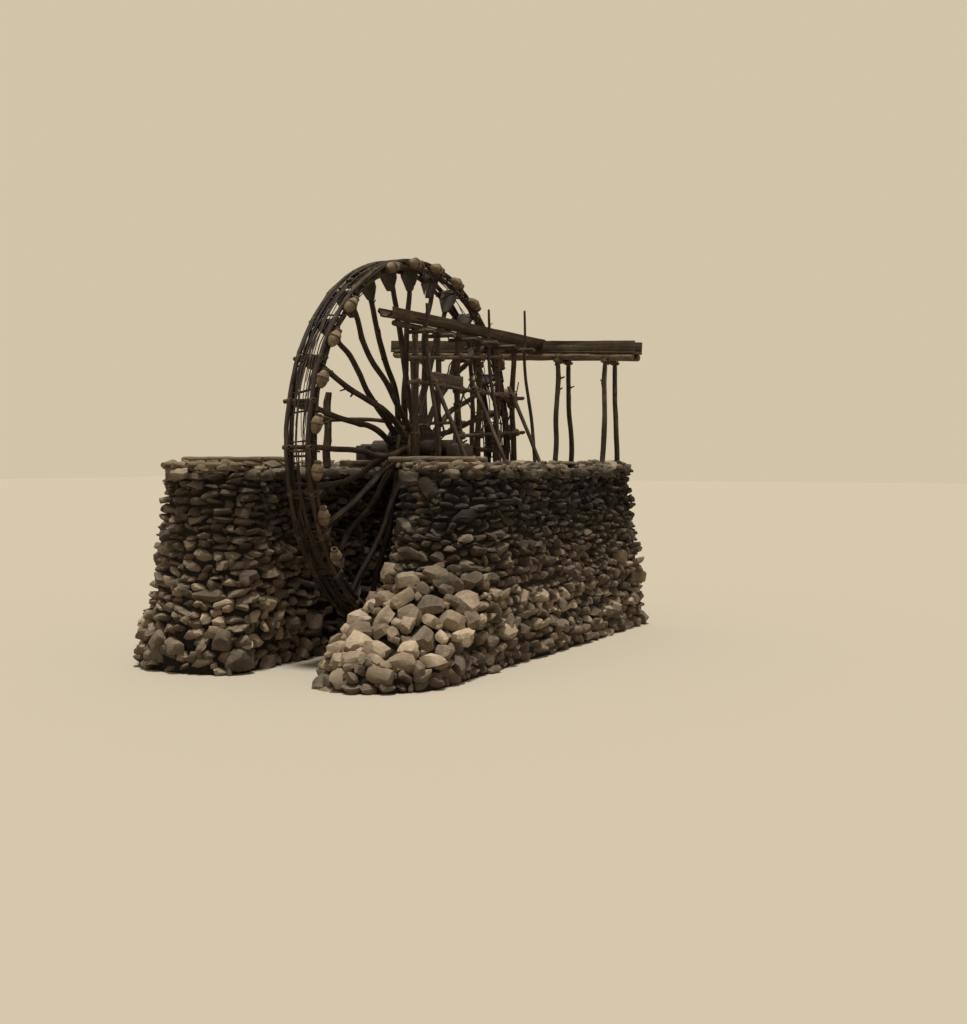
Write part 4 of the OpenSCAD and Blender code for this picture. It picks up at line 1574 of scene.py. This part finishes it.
def nearest(a: Course, b: Course, steps: int = 60) -> tuple[float, float, float]:
    """Where two poles pass each other most closely.

    Args:
        a: the first pole.
        b: the second pole.
        steps: the steps along each.

    Returns:
        The share along each pole, and the gap between their centre lines.
    """
    pa, pb = ([pole.at(i / steps) for i in range(steps + 1)] for pole in (a, b))
    best = min(((p - q).length_squared, i, j) for i, p in enumerate(pa) for j, q in enumerate(pb))
    return best[1] / steps, best[2] / steps, math.sqrt(best[0])


def tie_crossings(bm: BMesh, pairs: Iterable[tuple[Course, Course]], seed: int) -> int:
    """Ties each pair of poles that touch.

    Args:
        bm: the bmesh that grows.
        pairs: the pairs of poles.
        seed: the seed of the first tie.

    Returns:
        How many ties were made.
    """
    count = 0
    for a, b in pairs:
        ta, tb, gap = nearest(a, b)
        ra, rb = a.radius(ta), b.radius(tb)
        pa, pb = a.at(ta), b.at(tb)
        across = pb - pa
        if gap > ra + rb + TIE_GAP or across.length < 0.01:
            continue
        u = across.normalized()
        middle = (pa - u * ra + pb + u * rb) / 2
        reach = (across.length + ra + rb) / 2
        lash(bm, middle, across, (a.side(ta), b.side(tb)), reach, max(ra, rb), seed + count)
        count += 1
    return count


@dataclass
class Flume:
    """The plank flume and its trestles.

    Attributes:
        maker: the pole maker.
        tilt: how steeply it rises away from the wheel, in radians.
        boards: for each CAD node of boards, the piece's name, how far they wander, and their seed.
        groups: the CAD node, the piece's name and the first seed of each group of poles.
    """

    maker: PoleMaker
    tilt: float = math.atan(0.048)
    boards: tuple[tuple[str, str, float, int], ...] = (
        ("flume_floor", "flume_floor_board", 0.008, 7),
        ("flume_sides", "flume_side_boards", 0.014, 9),
    )
    groups: tuple[tuple[str, str, int], ...] = (
        ("flume_bearers", "flume_bearer_poles", 210),
        ("left_flume_posts", "left_flume_post_poles", 220),
        ("right_flume_posts", "right_flume_post_poles", 230),
        ("left_pier_post", "left_pier_post_pole", 240),
        ("left_pier_rail", "left_pier_rail_pole", 250),
    )

    def build(self) -> None:
        """Builds every piece of the flume."""
        along = Vector((0, math.cos(self.tilt), math.sin(self.tilt)))
        for node, name, wander, seed in self.boards:
            boards = hewn_copy(node, 0.006, wander, seed, along)
            finish_piece(boards, name, TROUGH_WOOD, Body.STATION, [node])
        peeled = PoleGroup("flume_beams", "flume_beam_poles", 200, self.maker, PEELED_POLES, Slot.PEELED)
        beams = peeled.build()
        made = {node: PoleGroup(node, name, seed, self.maker).build() for node, name, seed in self.groups}
        posts = made["left_flume_posts"] + made["right_flume_posts"]
        stout, rail = made["left_pier_post"][0], made["left_pier_rail"][0]
        pairs = [(a, b) for a in made["flume_bearers"] for b in beams + posts]
        bm = bmesh.new()
        tie_crossings(bm, pairs + [(stout, rail)] + [(post, rail) for post in posts], 600)
        finish_piece(bm, "flume_ties", ROPE, Body.STATION)


# Wheel


@dataclass
class Axle:
    """The log axle and its journals.

    Attributes:
        journal_r: the part inside this radius is turned smooth, and the log outside it is hewn.
        dent: the depth of the axe's marks.
    """

    journal_r: float = 0.14
    dent: float = 0.007

    def build(self) -> None:
        """Builds the axle as one turned and hewn log."""
        bm = cad_mesh("axle", flat=True)
        halve_long(bm, 6, lambda e: abs(e.verts[0].co.y - e.verts[1].co.y) > 0.09)
        layer = grain_layer(bm)
        for v in bm.verts:
            rel = v.co - Vector((0, 0, AXLE_Z))
            v[layer] = Vector((rel.x, rel.z, rel.y))
            r = math.hypot(rel.x, rel.z)
            if r > self.journal_r:
                dent = self.dent * abs(noise.noise(Vector((rel.x * 9, rel.z * 9, rel.y * 2.2))))
                v.co -= Vector((rel.x, 0, rel.z)) / r * dent
        finish_piece(bm, "axle_log", AXLE_WOOD, Body.WHEEL, ["axle"], sharp=35)


@dataclass
class Hub:
    """The hub: half-round staves bound with rope over a core, with the spokes' feet between them.

    Attributes:
        core_r: the radius of the core.
        out_r: the radius over the staves.
        half_w: half the hub's length.
        stave_r: the radius of a stave.
        inner_rings: for each ring of poles inside the staves, its radius, its poles and their seed.
        bands: where the bands of rope lie along the axle.
        band_turns: the turns of rope in a band.
        rope_r: the radius of the rope.
    """

    core_r: float = 0.372
    out_r: float = 0.4
    half_w: float = 0.25
    stave_r: float = 0.043
    inner_rings: tuple[tuple[float, int, int], ...] = ((0.3, 20, 760), (0.21, 13, 790))
    bands: tuple[float, ...] = (-0.215, 0.0, 0.215)
    band_turns: int = 3
    rope_r: float = 0.01

    def build(self) -> None:
        """Builds the core, the staves and the rope."""
        lying = Matrix.Rotation(math.pi / 2, 4, "X")
        core = bmesh.new()
        matrix = Matrix.Translation((0, 0, AXLE_Z)) @ lying
        r, depth = self.core_r, self.half_w * 2 - 0.02
        bmesh.ops.create_cone(
            core, cap_ends=True, cap_tris=False, segments=56, radius1=r, radius2=r, depth=depth, matrix=matrix
        )
        bm = bmesh.new()
        layer = grain_layer(bm)
        for v in append(bm, keep_mesh(core, "hub_core")):
            rel = v.co - Vector((0, 0, AXLE_Z))
            v[layer] = Vector((rel.x, rel.z, rel.y))
        maker = PoleMaker(sides=10, ring_gap=0.06, knot_gap=2.0, stub=0.0, wander=0.05, knob=0.1)
        for k in range(PLACES):
            half = self.half_w - Random(700 + k).uniform(0.0, 0.014)
            self.stave(bm, maker, (k + 0.5) * PITCH, self.out_r - self.stave_r, half, 710 + k)
        for ring_r, count, seed in self.inner_rings:
            for k in range(count):
                half = self.half_w - 0.001 - Random(seed + k).uniform(0, 0.01)
                self.stave(bm, maker, (k + 0.3) * math.tau / count, ring_r, half, seed + k)
        finish_piece(bm, "hub_staves", WET_BOARDS, Body.WHEEL, ["hub"], sharp=45)
        ropes = bmesh.new()
        for band in self.bands:
            for n in range(self.band_turns):
                y = band + (n - (self.band_turns - 1) / 2) * self.rope_r * 2.1
                place = Matrix.Translation((0, y, AXLE_Z)) @ lying
                rope_loop(ropes, place, self.out_r + 0.008, self.rope_r, steps=56)
        finish_piece(ropes, "hub_ropes", ROPE, Body.WHEEL)

    def stave(
        self, bm: BMesh, maker: PoleMaker, turn: float, r: float, half: float, seed: int
    ) -> None:
        """Draws one pole along the axle.

        Args:
            bm: the bmesh that grows.
            maker: the pole maker.
            turn: its angle round the axle.
            r: its distance from the axle.
            half: half its length.
            seed: its seed.
        """
        points = tuple(on_wheel(turn, r, s * half) for s in (-1, 0, 1))
        maker.draw(bm, Course(points, (self.stave_r,) * 3), seed)


@dataclass
class Rim:
    """Four hoops of bent poles, lapped at their ends, over the cross stakes, and wound with withies.

    Attributes:
        outer_r: the radius of the outer hoops.
        inner_r: the radius of the inner hoops.
        stake_r: the radius of the ring of stakes.
        half_w: half the distance between the near and far hoops.
        pole_r: the radius of a hoop's pole.
        poles: the poles in a hoop.
        lap: how far two poles lap, in radians.
        swell: a factor on the poles' radius, with their bark.
        hoop_steps: the spans along a hoop's pole.
        withies: the withies round each hoop.
        withy_steps: the spans along a withy.
        sticks: the loose sticks pushed in beside the stakes.
        stick_steps: the spans along a stick.
        wattle: the thin withies that lie over the rim between the outer hoops.
        wattle_steps: the spans along one of them.
    """

    outer_r: float = 3.0713
    inner_r: float = 2.9587
    stake_r: float = 3.015
    half_w: float = 0.2
    pole_r: float = 0.028
    poles: int = 11
    lap: float = 0.14
    swell: float = 1.24
    hoop_steps: int = 14
    withies: int = 20
    withy_steps: int = 16
    sticks: int = 56
    stick_steps: int = 4
    wattle: int = 84
    wattle_steps: int = 12

    def build(self, maker: PoleMaker) -> None:
        """Builds the hoops, the stakes, the withies and their ties.

        Args:
            maker: the pole maker.
        """
        rings = [(r, y) for r in (self.outer_r, self.inner_r) for y in (-self.half_w, self.half_w)]
        self.hoops(maker, rings)
        self.stakes(maker)
        self.bind(rings)
        self.ties()

    def hoops(self, maker: PoleMaker, rings: Sequence[tuple[float, float]]) -> None:
        """The hoops.

        Args:
            maker: the pole maker.
            rings: the radius of each hoop and its place along the axle.
        """
        bm = bmesh.new()
        chance = Random(811)
        share = math.tau / self.poles
        for h, (r, y) in enumerate(rings):
            start = chance.uniform(0, share)
            for n in range(self.poles):
                a = start + n * share - self.lap / 2
                b = start + (n + 1) * share + self.lap / 2
                points, radii = [], []
                for i in range(self.hoop_steps + 1):
                    t = i / self.hoop_steps
                    # The ends thin out and lie one over the other
                    end = max(0.0, 1 - min(t, 1 - t) / 0.12)
                    side = (1 if t > 0.5 else -1) * (1 if n % 2 else -1)
                    out = r + chance.gauss(0, 0.0035)
                    if r > self.stake_r:
                        out = min(out, POLE_REACH - self.pole_r * 1.1)
                    y_off = y + side * end * self.pole_r * 0.55 + chance.gauss(0, 0.003)
                    points.append(on_wheel(a + (b - a) * t, out, y_off))
                    radii.append(self.pole_r * (1.0 - 0.35 * end))
                maker.draw(bm, Course(tuple(points), tuple(radii)), 820 + 20 * h + n, swell=self.swell)
        self.finish(bm, "rim_hoops", [f"rim_{i}" for i in range(1, 8)])

    def bind(self, rings: Sequence[tuple[float, float]]) -> None:
        """Withies wound loosely along the hoops, sticks beside the stakes and wattle, which fill the rim out.

        Args:
            rings: the radius of each hoop and its place along the axle.
        """
        maker = PoleMaker(sides=6, ring_gap=0.09, knot_gap=0.5, stub=0.55, knob=0.4, wander=0.5)
        bm = bmesh.new()
        chance = Random(877)
        for h, (r, y) in enumerate(rings):
            for n in range(self.withies):
                maker.draw(bm, self.withy(r, y, chance), 1400 + 20 * h + n)
        for n in range(self.sticks):
            maker.draw(bm, self.stick(n, chance), 1600 + n)
        for n in range(self.wattle):
            maker.draw(bm, self.strand(chance), 1700 + n)
        self.finish(bm, "rim_withies")

    def withy(self, r: float, y: float, chance: Random) -> Course:
        """The line of a withy that winds along a hoop.

        Args:
            r: the hoop's radius.
            y: its place along the axle.
            chance: the source of chance.

        Returns:
            The centre line.
        """
        start, span = chance.uniform(0, math.tau), chance.uniform(0.45, 0.95)
        twist, phase = chance.uniform(2, 7) * chance.choice((-1, 1)), chance.uniform(0, math.tau)
        thick = chance.uniform(0.01, 0.019)
        points, radii = [], []
        for i in range(self.withy_steps + 1):
            t = i / self.withy_steps
            way = phase + twist * t
            off = self.pole_r * self.swell + thick * (0.7 + 0.5 * math.sin(math.pi * t))
            out = r + math.cos(way) * off
            if r > self.stake_r:
                out = min(out, POLE_REACH - thick)
            points.append(on_wheel(start + span * t, out, y + math.sin(way) * off))
            radii.append(thick * (1 - 0.5 * t))
        return Course(tuple(points), tuple(radii))

    def stick(self, n: int, chance: Random) -> Course:
        """The line of a stick beside a stake, from one side of the rim to the other.

        Args:
            n: its number; each stake has two.
            chance: the source of chance.

        Returns:
            The centre line.
        """
        turn = (n // 2) * PITCH + (-1) ** n * chance.uniform(0.02, 0.055)
        r = self.stake_r - chance.uniform(-0.01, 0.05)
        skew, thick = chance.gauss(0, 0.012), chance.uniform(0.014, 0.023)
        points = []
        for i in range(self.stick_steps + 1):
            share = i / self.stick_steps * 2 - 1
            at = turn + skew * share + chance.gauss(0, 0.0015)
            points.append(on_wheel(at, r, share * (self.half_w + chance.uniform(0.04, 0.09))))
        return Course(tuple(points), tuple(thick * (1 - 0.08 * i) for i in range(len(points))))

    def strand(self, chance: Random) -> Course:
        """The line of a thin withy that lies over the stakes.

        Args:
            chance: the source of chance.

        Returns:
            The centre line.
        """
        start, span = chance.uniform(0, math.tau), chance.uniform(0.35, 0.85)
        y, drift = chance.uniform(-0.145, 0.145), chance.uniform(-0.06, 0.06)
        thick = chance.uniform(0.009, 0.012)
        points = []
        for i in range(self.wattle_steps + 1):
            turn = start + span * i / self.wattle_steps
            out = min(self.outer_r + thick + 0.003 + abs(chance.gauss(0, 0.002)), POLE_REACH - thick)
            side = y + drift * (i / (self.wattle_steps / 2) - 1) + chance.gauss(0, 0.007)
            points.append(on_wheel(turn, out, side))
        return Course(tuple(points), tuple(thick * (1 - 0.035 * i) for i in range(len(points))))

    def hold_inside(self, bm: BMesh) -> None:
        """Keeps every vertex inside the wheel's outer radius.

        Args:
            bm: the bmesh.
        """
        for v in bm.verts:
            x, z = v.co.x, v.co.z - AXLE_Z
            r = math.hypot(x, z)
            if r > WHEEL_REACH:
                v.co.x, v.co.z = x * WHEEL_REACH / r, AXLE_Z + z * WHEEL_REACH / r

    def finish(self, bm: BMesh, name: str, nodes: Sequence[str] = ()) -> None:
        """Finishes a piece made of poles."""
        self.hold_inside(bm)
        finish_piece(bm, name, WHEEL_POLES, Body.WHEEL, nodes, sharp=50)

    def stakes(self, maker: PoleMaker) -> None:
        """The cross stakes, whose ends stand out as knobs.

        Args:
            maker: the pole maker.
        """
        bm = bmesh.new()
        for k, group in enumerate(islands("cross_stakes")):
            middle = sum(group, Vector()) / len(group)
            ends = [Vector((middle.x, end(p.y for p in group), middle.z)) for end in (min, max)]
            points = tuple(ends[0].lerp(ends[1], i / 4) for i in range(5))
            maker.draw(bm, Course(points, (self.pole_r,) * 5), 900 + k, swell=self.swell)
        self.finish(bm, "cross_stake_poles", ["cross_stakes"])

    def ties(self) -> None:
        """Rope at each crossing of a stake with its two hoops."""
        bm = bmesh.new()
        width = self.pole_r * 0.98
        reach = self.outer_r - self.stake_r + width - 0.009
        for k in range(PLACES):
            m = at_angle(k * PITCH)
            out, along, ahead = m.to_3x3().col
            for y in (-self.half_w, self.half_w):
                lash(bm, m @ Vector((self.stake_r, y, 0)), out, (along, ahead), reach, width, 1000 + k)
        self.hold_inside(bm)
        finish_piece(bm, "rim_ties", ROPE, Body.WHEEL)


@dataclass
class Paddles:
    """Rough boards behind the spokes, wide at the rim and narrow at the inner end.

    Attributes:
        gap: the gap between two boards.
        middle_r: the radius of a paddle's middle.
        inner_r: the radius of its inner end.
        reach: no corner of a paddle is further from its middle than this.
        wear: the width of a board's worn edges.
    """

    gap: float = 0.006
    middle_r: float = 2.841
    inner_r: float = 2.611
    reach: float = 0.33
    wear: float = 0.004

    def build(self) -> None:
        """Builds the boards, two or three to a paddle."""
        solids = cad_mesh("paddles", flat=True)
        whole = bmesh.new()
        for k in range(PLACES):
            for mesh in self.saw(self.one(solids, k), k):
                append(whole, mesh)
                bpy.data.meshes.remove(mesh)
        solids.free()
        finish_piece(whole, "paddle_boards", WET_BOARDS, Body.WHEEL, ["paddles"])

    def one(self, solids: BMesh, k: int) -> BMesh:
        """Copies one paddle out of the ring.

        Args:
            solids: all the paddles.
            k: the paddle's number.

        Returns:
            The paddle alone.
        """
        part = solids.copy()
        middle = at_angle(k * PITCH) @ Vector((self.middle_r, 0, 0.055))
        far = [v for v in part.verts if (v.co - middle).length > self.reach]
        bmesh.ops.delete(part, geom=far, context="VERTS")
        return part

    def saw(self, bm: BMesh, k: int) -> list[Mesh]:
        """Saws a paddle into boards and wears them.

        Args:
            bm: the paddle, which is freed.
            k: its number.

        Returns:
            The meshes of its boards.
        """
        chance = Random(1200 + k)
        m = at_angle(k * PITCH)
        turn = m.to_3x3()
        back = m.inverted()
        cuts = sorted(chance.uniform(-0.11, 0.11) for _ in range(chance.choice((1, 2))))
        boards = []
        edges = [-1.0, *cuts, 1.0]
        for a, b in zip(edges, edges[1:]):
            piece = bm.copy()
            skew = Vector((chance.uniform(-0.06, 0.06), 1, 0)).normalized()
            for at, sign in ((a, -1), (b, 1)):
                if abs(at) < 1:
                    made = bmesh.ops.bisect_plane(
                        piece,
                        geom=piece.verts[:] + piece.edges[:] + piece.faces[:],
                        plane_co=m @ Vector((self.middle_r, at - sign * self.gap / 2, 0)),
                        plane_no=turn @ (skew * sign),
                        clear_outer=True,
                    )["geom_cut"]
                    sawn = [e for e in made if isinstance(e, BMEdge)]
                    bmesh.ops.contextual_create(piece, geom=sawn)
            if not piece.verts:
                piece.free()
                continue
            ease_edges(piece, self.wear)
            halve_long(piece, 2, lambda e: e.calc_length() > 0.1)
            layer = grain_layer(piece)
            drop = chance.uniform(0, 0.03)
            for v in piece.verts:
                q = back @ v.co
                v[layer] = Vector((q.y, q.z, q.x)) + Vector((k, k * 0.7, k * 1.3))
                q.x -= drop * (q.x - self.inner_r)
                q.z += 0.004 * noise.noise(Vector((q.x * 5, q.y * 12, k)))
                if q.x < self.inner_r + 0.14:
                    q.x += 0.012 * noise.noise(Vector((q.y * 16, k * 2.0, 0)))
                v.co = m @ q
            boards.append(keep_mesh(piece, "board"))
        bm.free()
        return boards


@dataclass
class Jars:
    """The clay jars on the near hoops, with the rope that ties them.

    Attributes:
        length: a jar's length.
        r: a jar's largest radius.
        wall: its wall.
        yaw: the turn of its mouth towards the trough, in radians.
        ring_r: the radius on which the jars lie.
        middle_y: where a jar's middle lies along the axle.
        missing: the places with no jar.
        neck: the share of its length at which the neck is tied, and the neck's share of its radius.
        belly: the same two shares where the belly is tied.
        rope_r: the radius of the rope.
        profile: its outer outline, as shares of its radius and its length, from the foot to the lip.
    """

    length: float = 0.29
    r: float = 0.086
    wall: float = 0.01
    yaw: float = math.radians(10)
    ring_r: float = 3.015
    middle_y: float = -0.3014
    missing: tuple[int, ...] = (3, 9, 17, 24)
    neck: tuple[float, float] = (0.93, 0.51)
    belly: tuple[float, float] = (0.5, 1.0)
    rope_r: float = 0.006
    profile: tuple[tuple[float, float], ...] = (
        *((0, 0), (0.38, 0), (0.52, 0.02), (0.66, 0.085), (0.79, 0.155), (0.87, 0.225), (0.94, 0.31)),
        *((0.985, 0.4), (1, 0.49), (0.985, 0.57), (0.94, 0.65), (0.865, 0.72), (0.765, 0.785), (0.65, 0.835)),
        *((0.56, 0.875), (0.51, 0.915), (0.505, 0.945), (0.55, 0.97), (0.6, 0.985), (0.6, 1)),
    )

    def build(self) -> None:
        """Builds the jars and their ropes."""
        jar = self.throw()
        whole, ropes = bmesh.new(), bmesh.new()
        for k in range(PLACES):
            if k in self.missing:
                continue
            chance = Random(1300 + k)
            m = at_angle((k + 0.5) * PITCH) @ Matrix.Translation((self.ring_r, self.middle_y, 0))
            m = m @ Matrix.Rotation(math.pi - self.yaw, 4, "X") @ Matrix.Translation((0, 0, -self.length / 2))
            m = m @ Matrix.Rotation(chance.uniform(0, math.tau), 4, "Z")
            layer = grain_layer(whole)
            for v in append(whole, jar):
                v[layer] = v.co + Vector((k * 1.7, k * 0.6, 0))
                v.co = m @ v.co
            self.tie(ropes, m)
        bpy.data.meshes.remove(jar)
        finish_piece(whole, "clay_jars", JAR_CLAY, Body.WHEEL, ["jars"], sharp=50)
        finish_piece(ropes, "jar_ropes", ROPE, Body.WHEEL)

    def throw(self) -> Mesh:
        """Spins one hollow jar, foot at the origin and mouth along Z.

        Returns:
            Its mesh.
        """
        outer = [Vector((x * self.r, 0, y * self.length)) for x, y in self.profile]
        inner = [Vector((max(p.x - self.wall, 0.0), 0, max(p.z, self.wall))) for p in outer[:-1]]
        points = outer + [outer[-1] - Vector((self.wall, 0, 0))] + inner[::-1]
        clean = [points[0]]
        for p in points[1:]:
            if (p - clean[-1]).length > 0.2 * MM:
                clean.append(p)
        bm = bmesh.new()
        verts = [bm.verts.new(p) for p in clean]
        edges = [bm.edges.new(pair) for pair in zip(verts, verts[1:])]
        bmesh.ops.spin(
            bm, geom=verts + edges, cent=(0, 0, 0), axis=(0, 0, 1), angle=math.tau, steps=24, use_merge=True
        )
        bmesh.ops.remove_doubles(bm, verts=bm.verts[:], dist=0.1 * MM)
        bmesh.ops.recalc_face_normals(bm, faces=bm.faces[:])
        grain_layer(bm)
        return keep_mesh(bm, "jar")

    def tie(self, bm: BMesh, m: Matrix) -> None:
        """Ropes round a jar's neck and belly, two turns each.

        Args:
            bm: the bmesh that grows.
            m: the jar's frame.
        """
        for share, width in (self.neck, self.belly):
            for n in range(2):
                place = m @ Matrix.Translation((0, 0, share * self.length + (n - 0.5) * 0.013))
                rope_loop(bm, place, self.r * width + 0.004, self.rope_r, steps=18)


@dataclass
class Wheel:
    """The whole wheel: axle, hub, spokes, rim, paddles and jars.

    Attributes:
        maker: the pole maker of the spokes.
    """

    maker: PoleMaker

    def build(self) -> None:
        """Builds every sub-assembly of the wheel."""
        Axle().build()
        Hub().build()
        for seed, side in ((1100, "near"), (1140, "far")):
            node, name = f"{side}_spokes", f"{side}_spoke_poles"
            PoleGroup(node, name, seed, self.maker, WHEEL_POLES, Slot.WHEEL, Body.WHEEL).build()
        Rim().build(PoleMaker(sides=8, ring_gap=0.1, knot_gap=0.9, stub=0.08, knob=0.3, wander=0.1))
        Paddles().build()
        Jars().build()


# Studio


@dataclass
class Studio:
    """The plain pale floor, the soft light and the camera at the photograph's place.

    Attributes:
        eye: the camera's height.
        place: the camera's place in plan.
        heading: the direction it looks in, in plan.
        pitch: how far it looks down, in degrees.
        focal_px: its focal length, in the photograph's pixels.
        long_side_px: the longer side of the photograph, in pixels.
        sensor: the width of its sensor, in millimetres.
        sun_way: the direction of the sunlight.
        sun_power: its strength.
        sun_spread: the width of the sun in degrees, which softens the shadows.
        sun_colour: its linear colour, a little warm.
        sky_light: the colour of the sky's light on the object.
        sky_power: its strength.
        sky_seen: the sky that the eye sees, at a strength of 1.
        floor_size: half the side of the floor.
    """

    eye: float = 3.066
    place: tuple[float, float] = (-16.935, -10.761)
    heading: tuple[float, float] = (0.875, 0.485)
    pitch: float = 2.48
    focal_px: float = 1200.0
    long_side_px: float = 1024.0
    sensor: float = 36.0
    sun_way: tuple[float, float, float] = (0.07, 0.05, -1.0)
    sun_power: float = 2.9
    sun_spread: float = 9.0
    sun_colour: tuple[float, float, float] = (1.0, 0.97, 0.92)
    sky_light: str = "#e8dcc9"
    sky_power: float = 0.48
    sky_seen: str = "#d2c4a9"
    floor_size: float = 150.0

    def build(self) -> None:
        """Sets up the camera, the floor, the sun and the sky."""
        bpy.context.scene.camera = self.camera()
        self.floor()
        self.sun()
        self.sky()

    def camera(self) -> Object:
        """Makes the camera at the photograph's place.

        Returns:
            The camera.
        """
        data = bpy.data.cameras.new("camera")
        data.sensor_width = self.sensor
        data.lens = self.focal_px * self.sensor / self.long_side_px
        data.clip_end = 400
        look = Vector((*self.heading, 0)).normalized()
        look = (look - UP * math.tan(math.radians(self.pitch))).normalized()
        camera = self.aim("camera", data, look)
        camera.location = (*self.place, self.eye)
        return camera

    def aim(self, name: str, data: ID, way: Vector) -> Object:
        """Adds a camera or a lamp that looks one way.

        Args:
            name: its name.
            data: its data.
            way: the direction it looks in.

        Returns:
            The object.
        """
        thing = bpy.data.objects.new(name, data)
        thing.rotation_mode = "QUATERNION"
        thing.rotation_quaternion = way.to_track_quat("-Z", "Y")
        bpy.context.scene.collection.objects.link(thing)
        return thing

    def floor(self) -> None:
        """The floor."""
        bm = bmesh.new()
        bmesh.ops.create_grid(bm, x_segments=1, y_segments=1, size=self.floor_size)
        mesh = keep_mesh(bm, "floor")
        mesh.materials.append(material_of(FLOOR))
        floor = bpy.data.objects.new("floor", mesh)
        bpy.context.scene.collection.objects.link(floor)

    def sun(self) -> None:
        """A soft sun, nearly overhead."""
        data = bpy.data.lights.new("sun", "SUN")
        data.energy = self.sun_power
        data.angle = math.radians(self.sun_spread)
        data.color = self.sun_colour
        self.aim("sun", data, Vector(self.sun_way))

    def sky(self) -> None:
        """A pale sky that the camera sees as a plain backdrop."""
        world = bpy.data.worlds.new("sky")
        bpy.context.scene.world = world
        world.use_nodes = True
        tree = world.node_tree
        tree.nodes.clear()
        soft = add(tree, "Background", Color=linear(self.sky_light), Strength=self.sky_power)
        back = add(tree, "Background", Color=linear(self.sky_seen), Strength=1.0)
        mix = add(tree, "MixShader", i0=seen_mask(tree), i1=soft, i2=back)
        add(tree, "OutputWorld", Surface=mix)


def main() -> None:
    """Builds the scene in order."""
    logging.basicConfig(level=logging.INFO, format="%(message)s")
    noise.seed_set(NOISE_SEED)
    bpy.context.scene.view_settings.view_transform = "Standard"
    Studio().build()
    mason = RubbleMason()
    mason.cut_masters()
    maker = PoleMaker()
    for side, seed, way in (("left", 21, 1), ("right", 57, -1)):
        Pier(side, mason, seed, way).build()
        node = f"{side}_lacing"
        PoleGroup(node, f"{node}_poles", 60 + seed, maker, PEELED_POLES, Slot.PEELED).build()
    Bearings().build()
    TroughFrame(maker).build()
    Flume(maker).build()
    Wheel(maker).build()


if __name__ == "__main__":
    main()
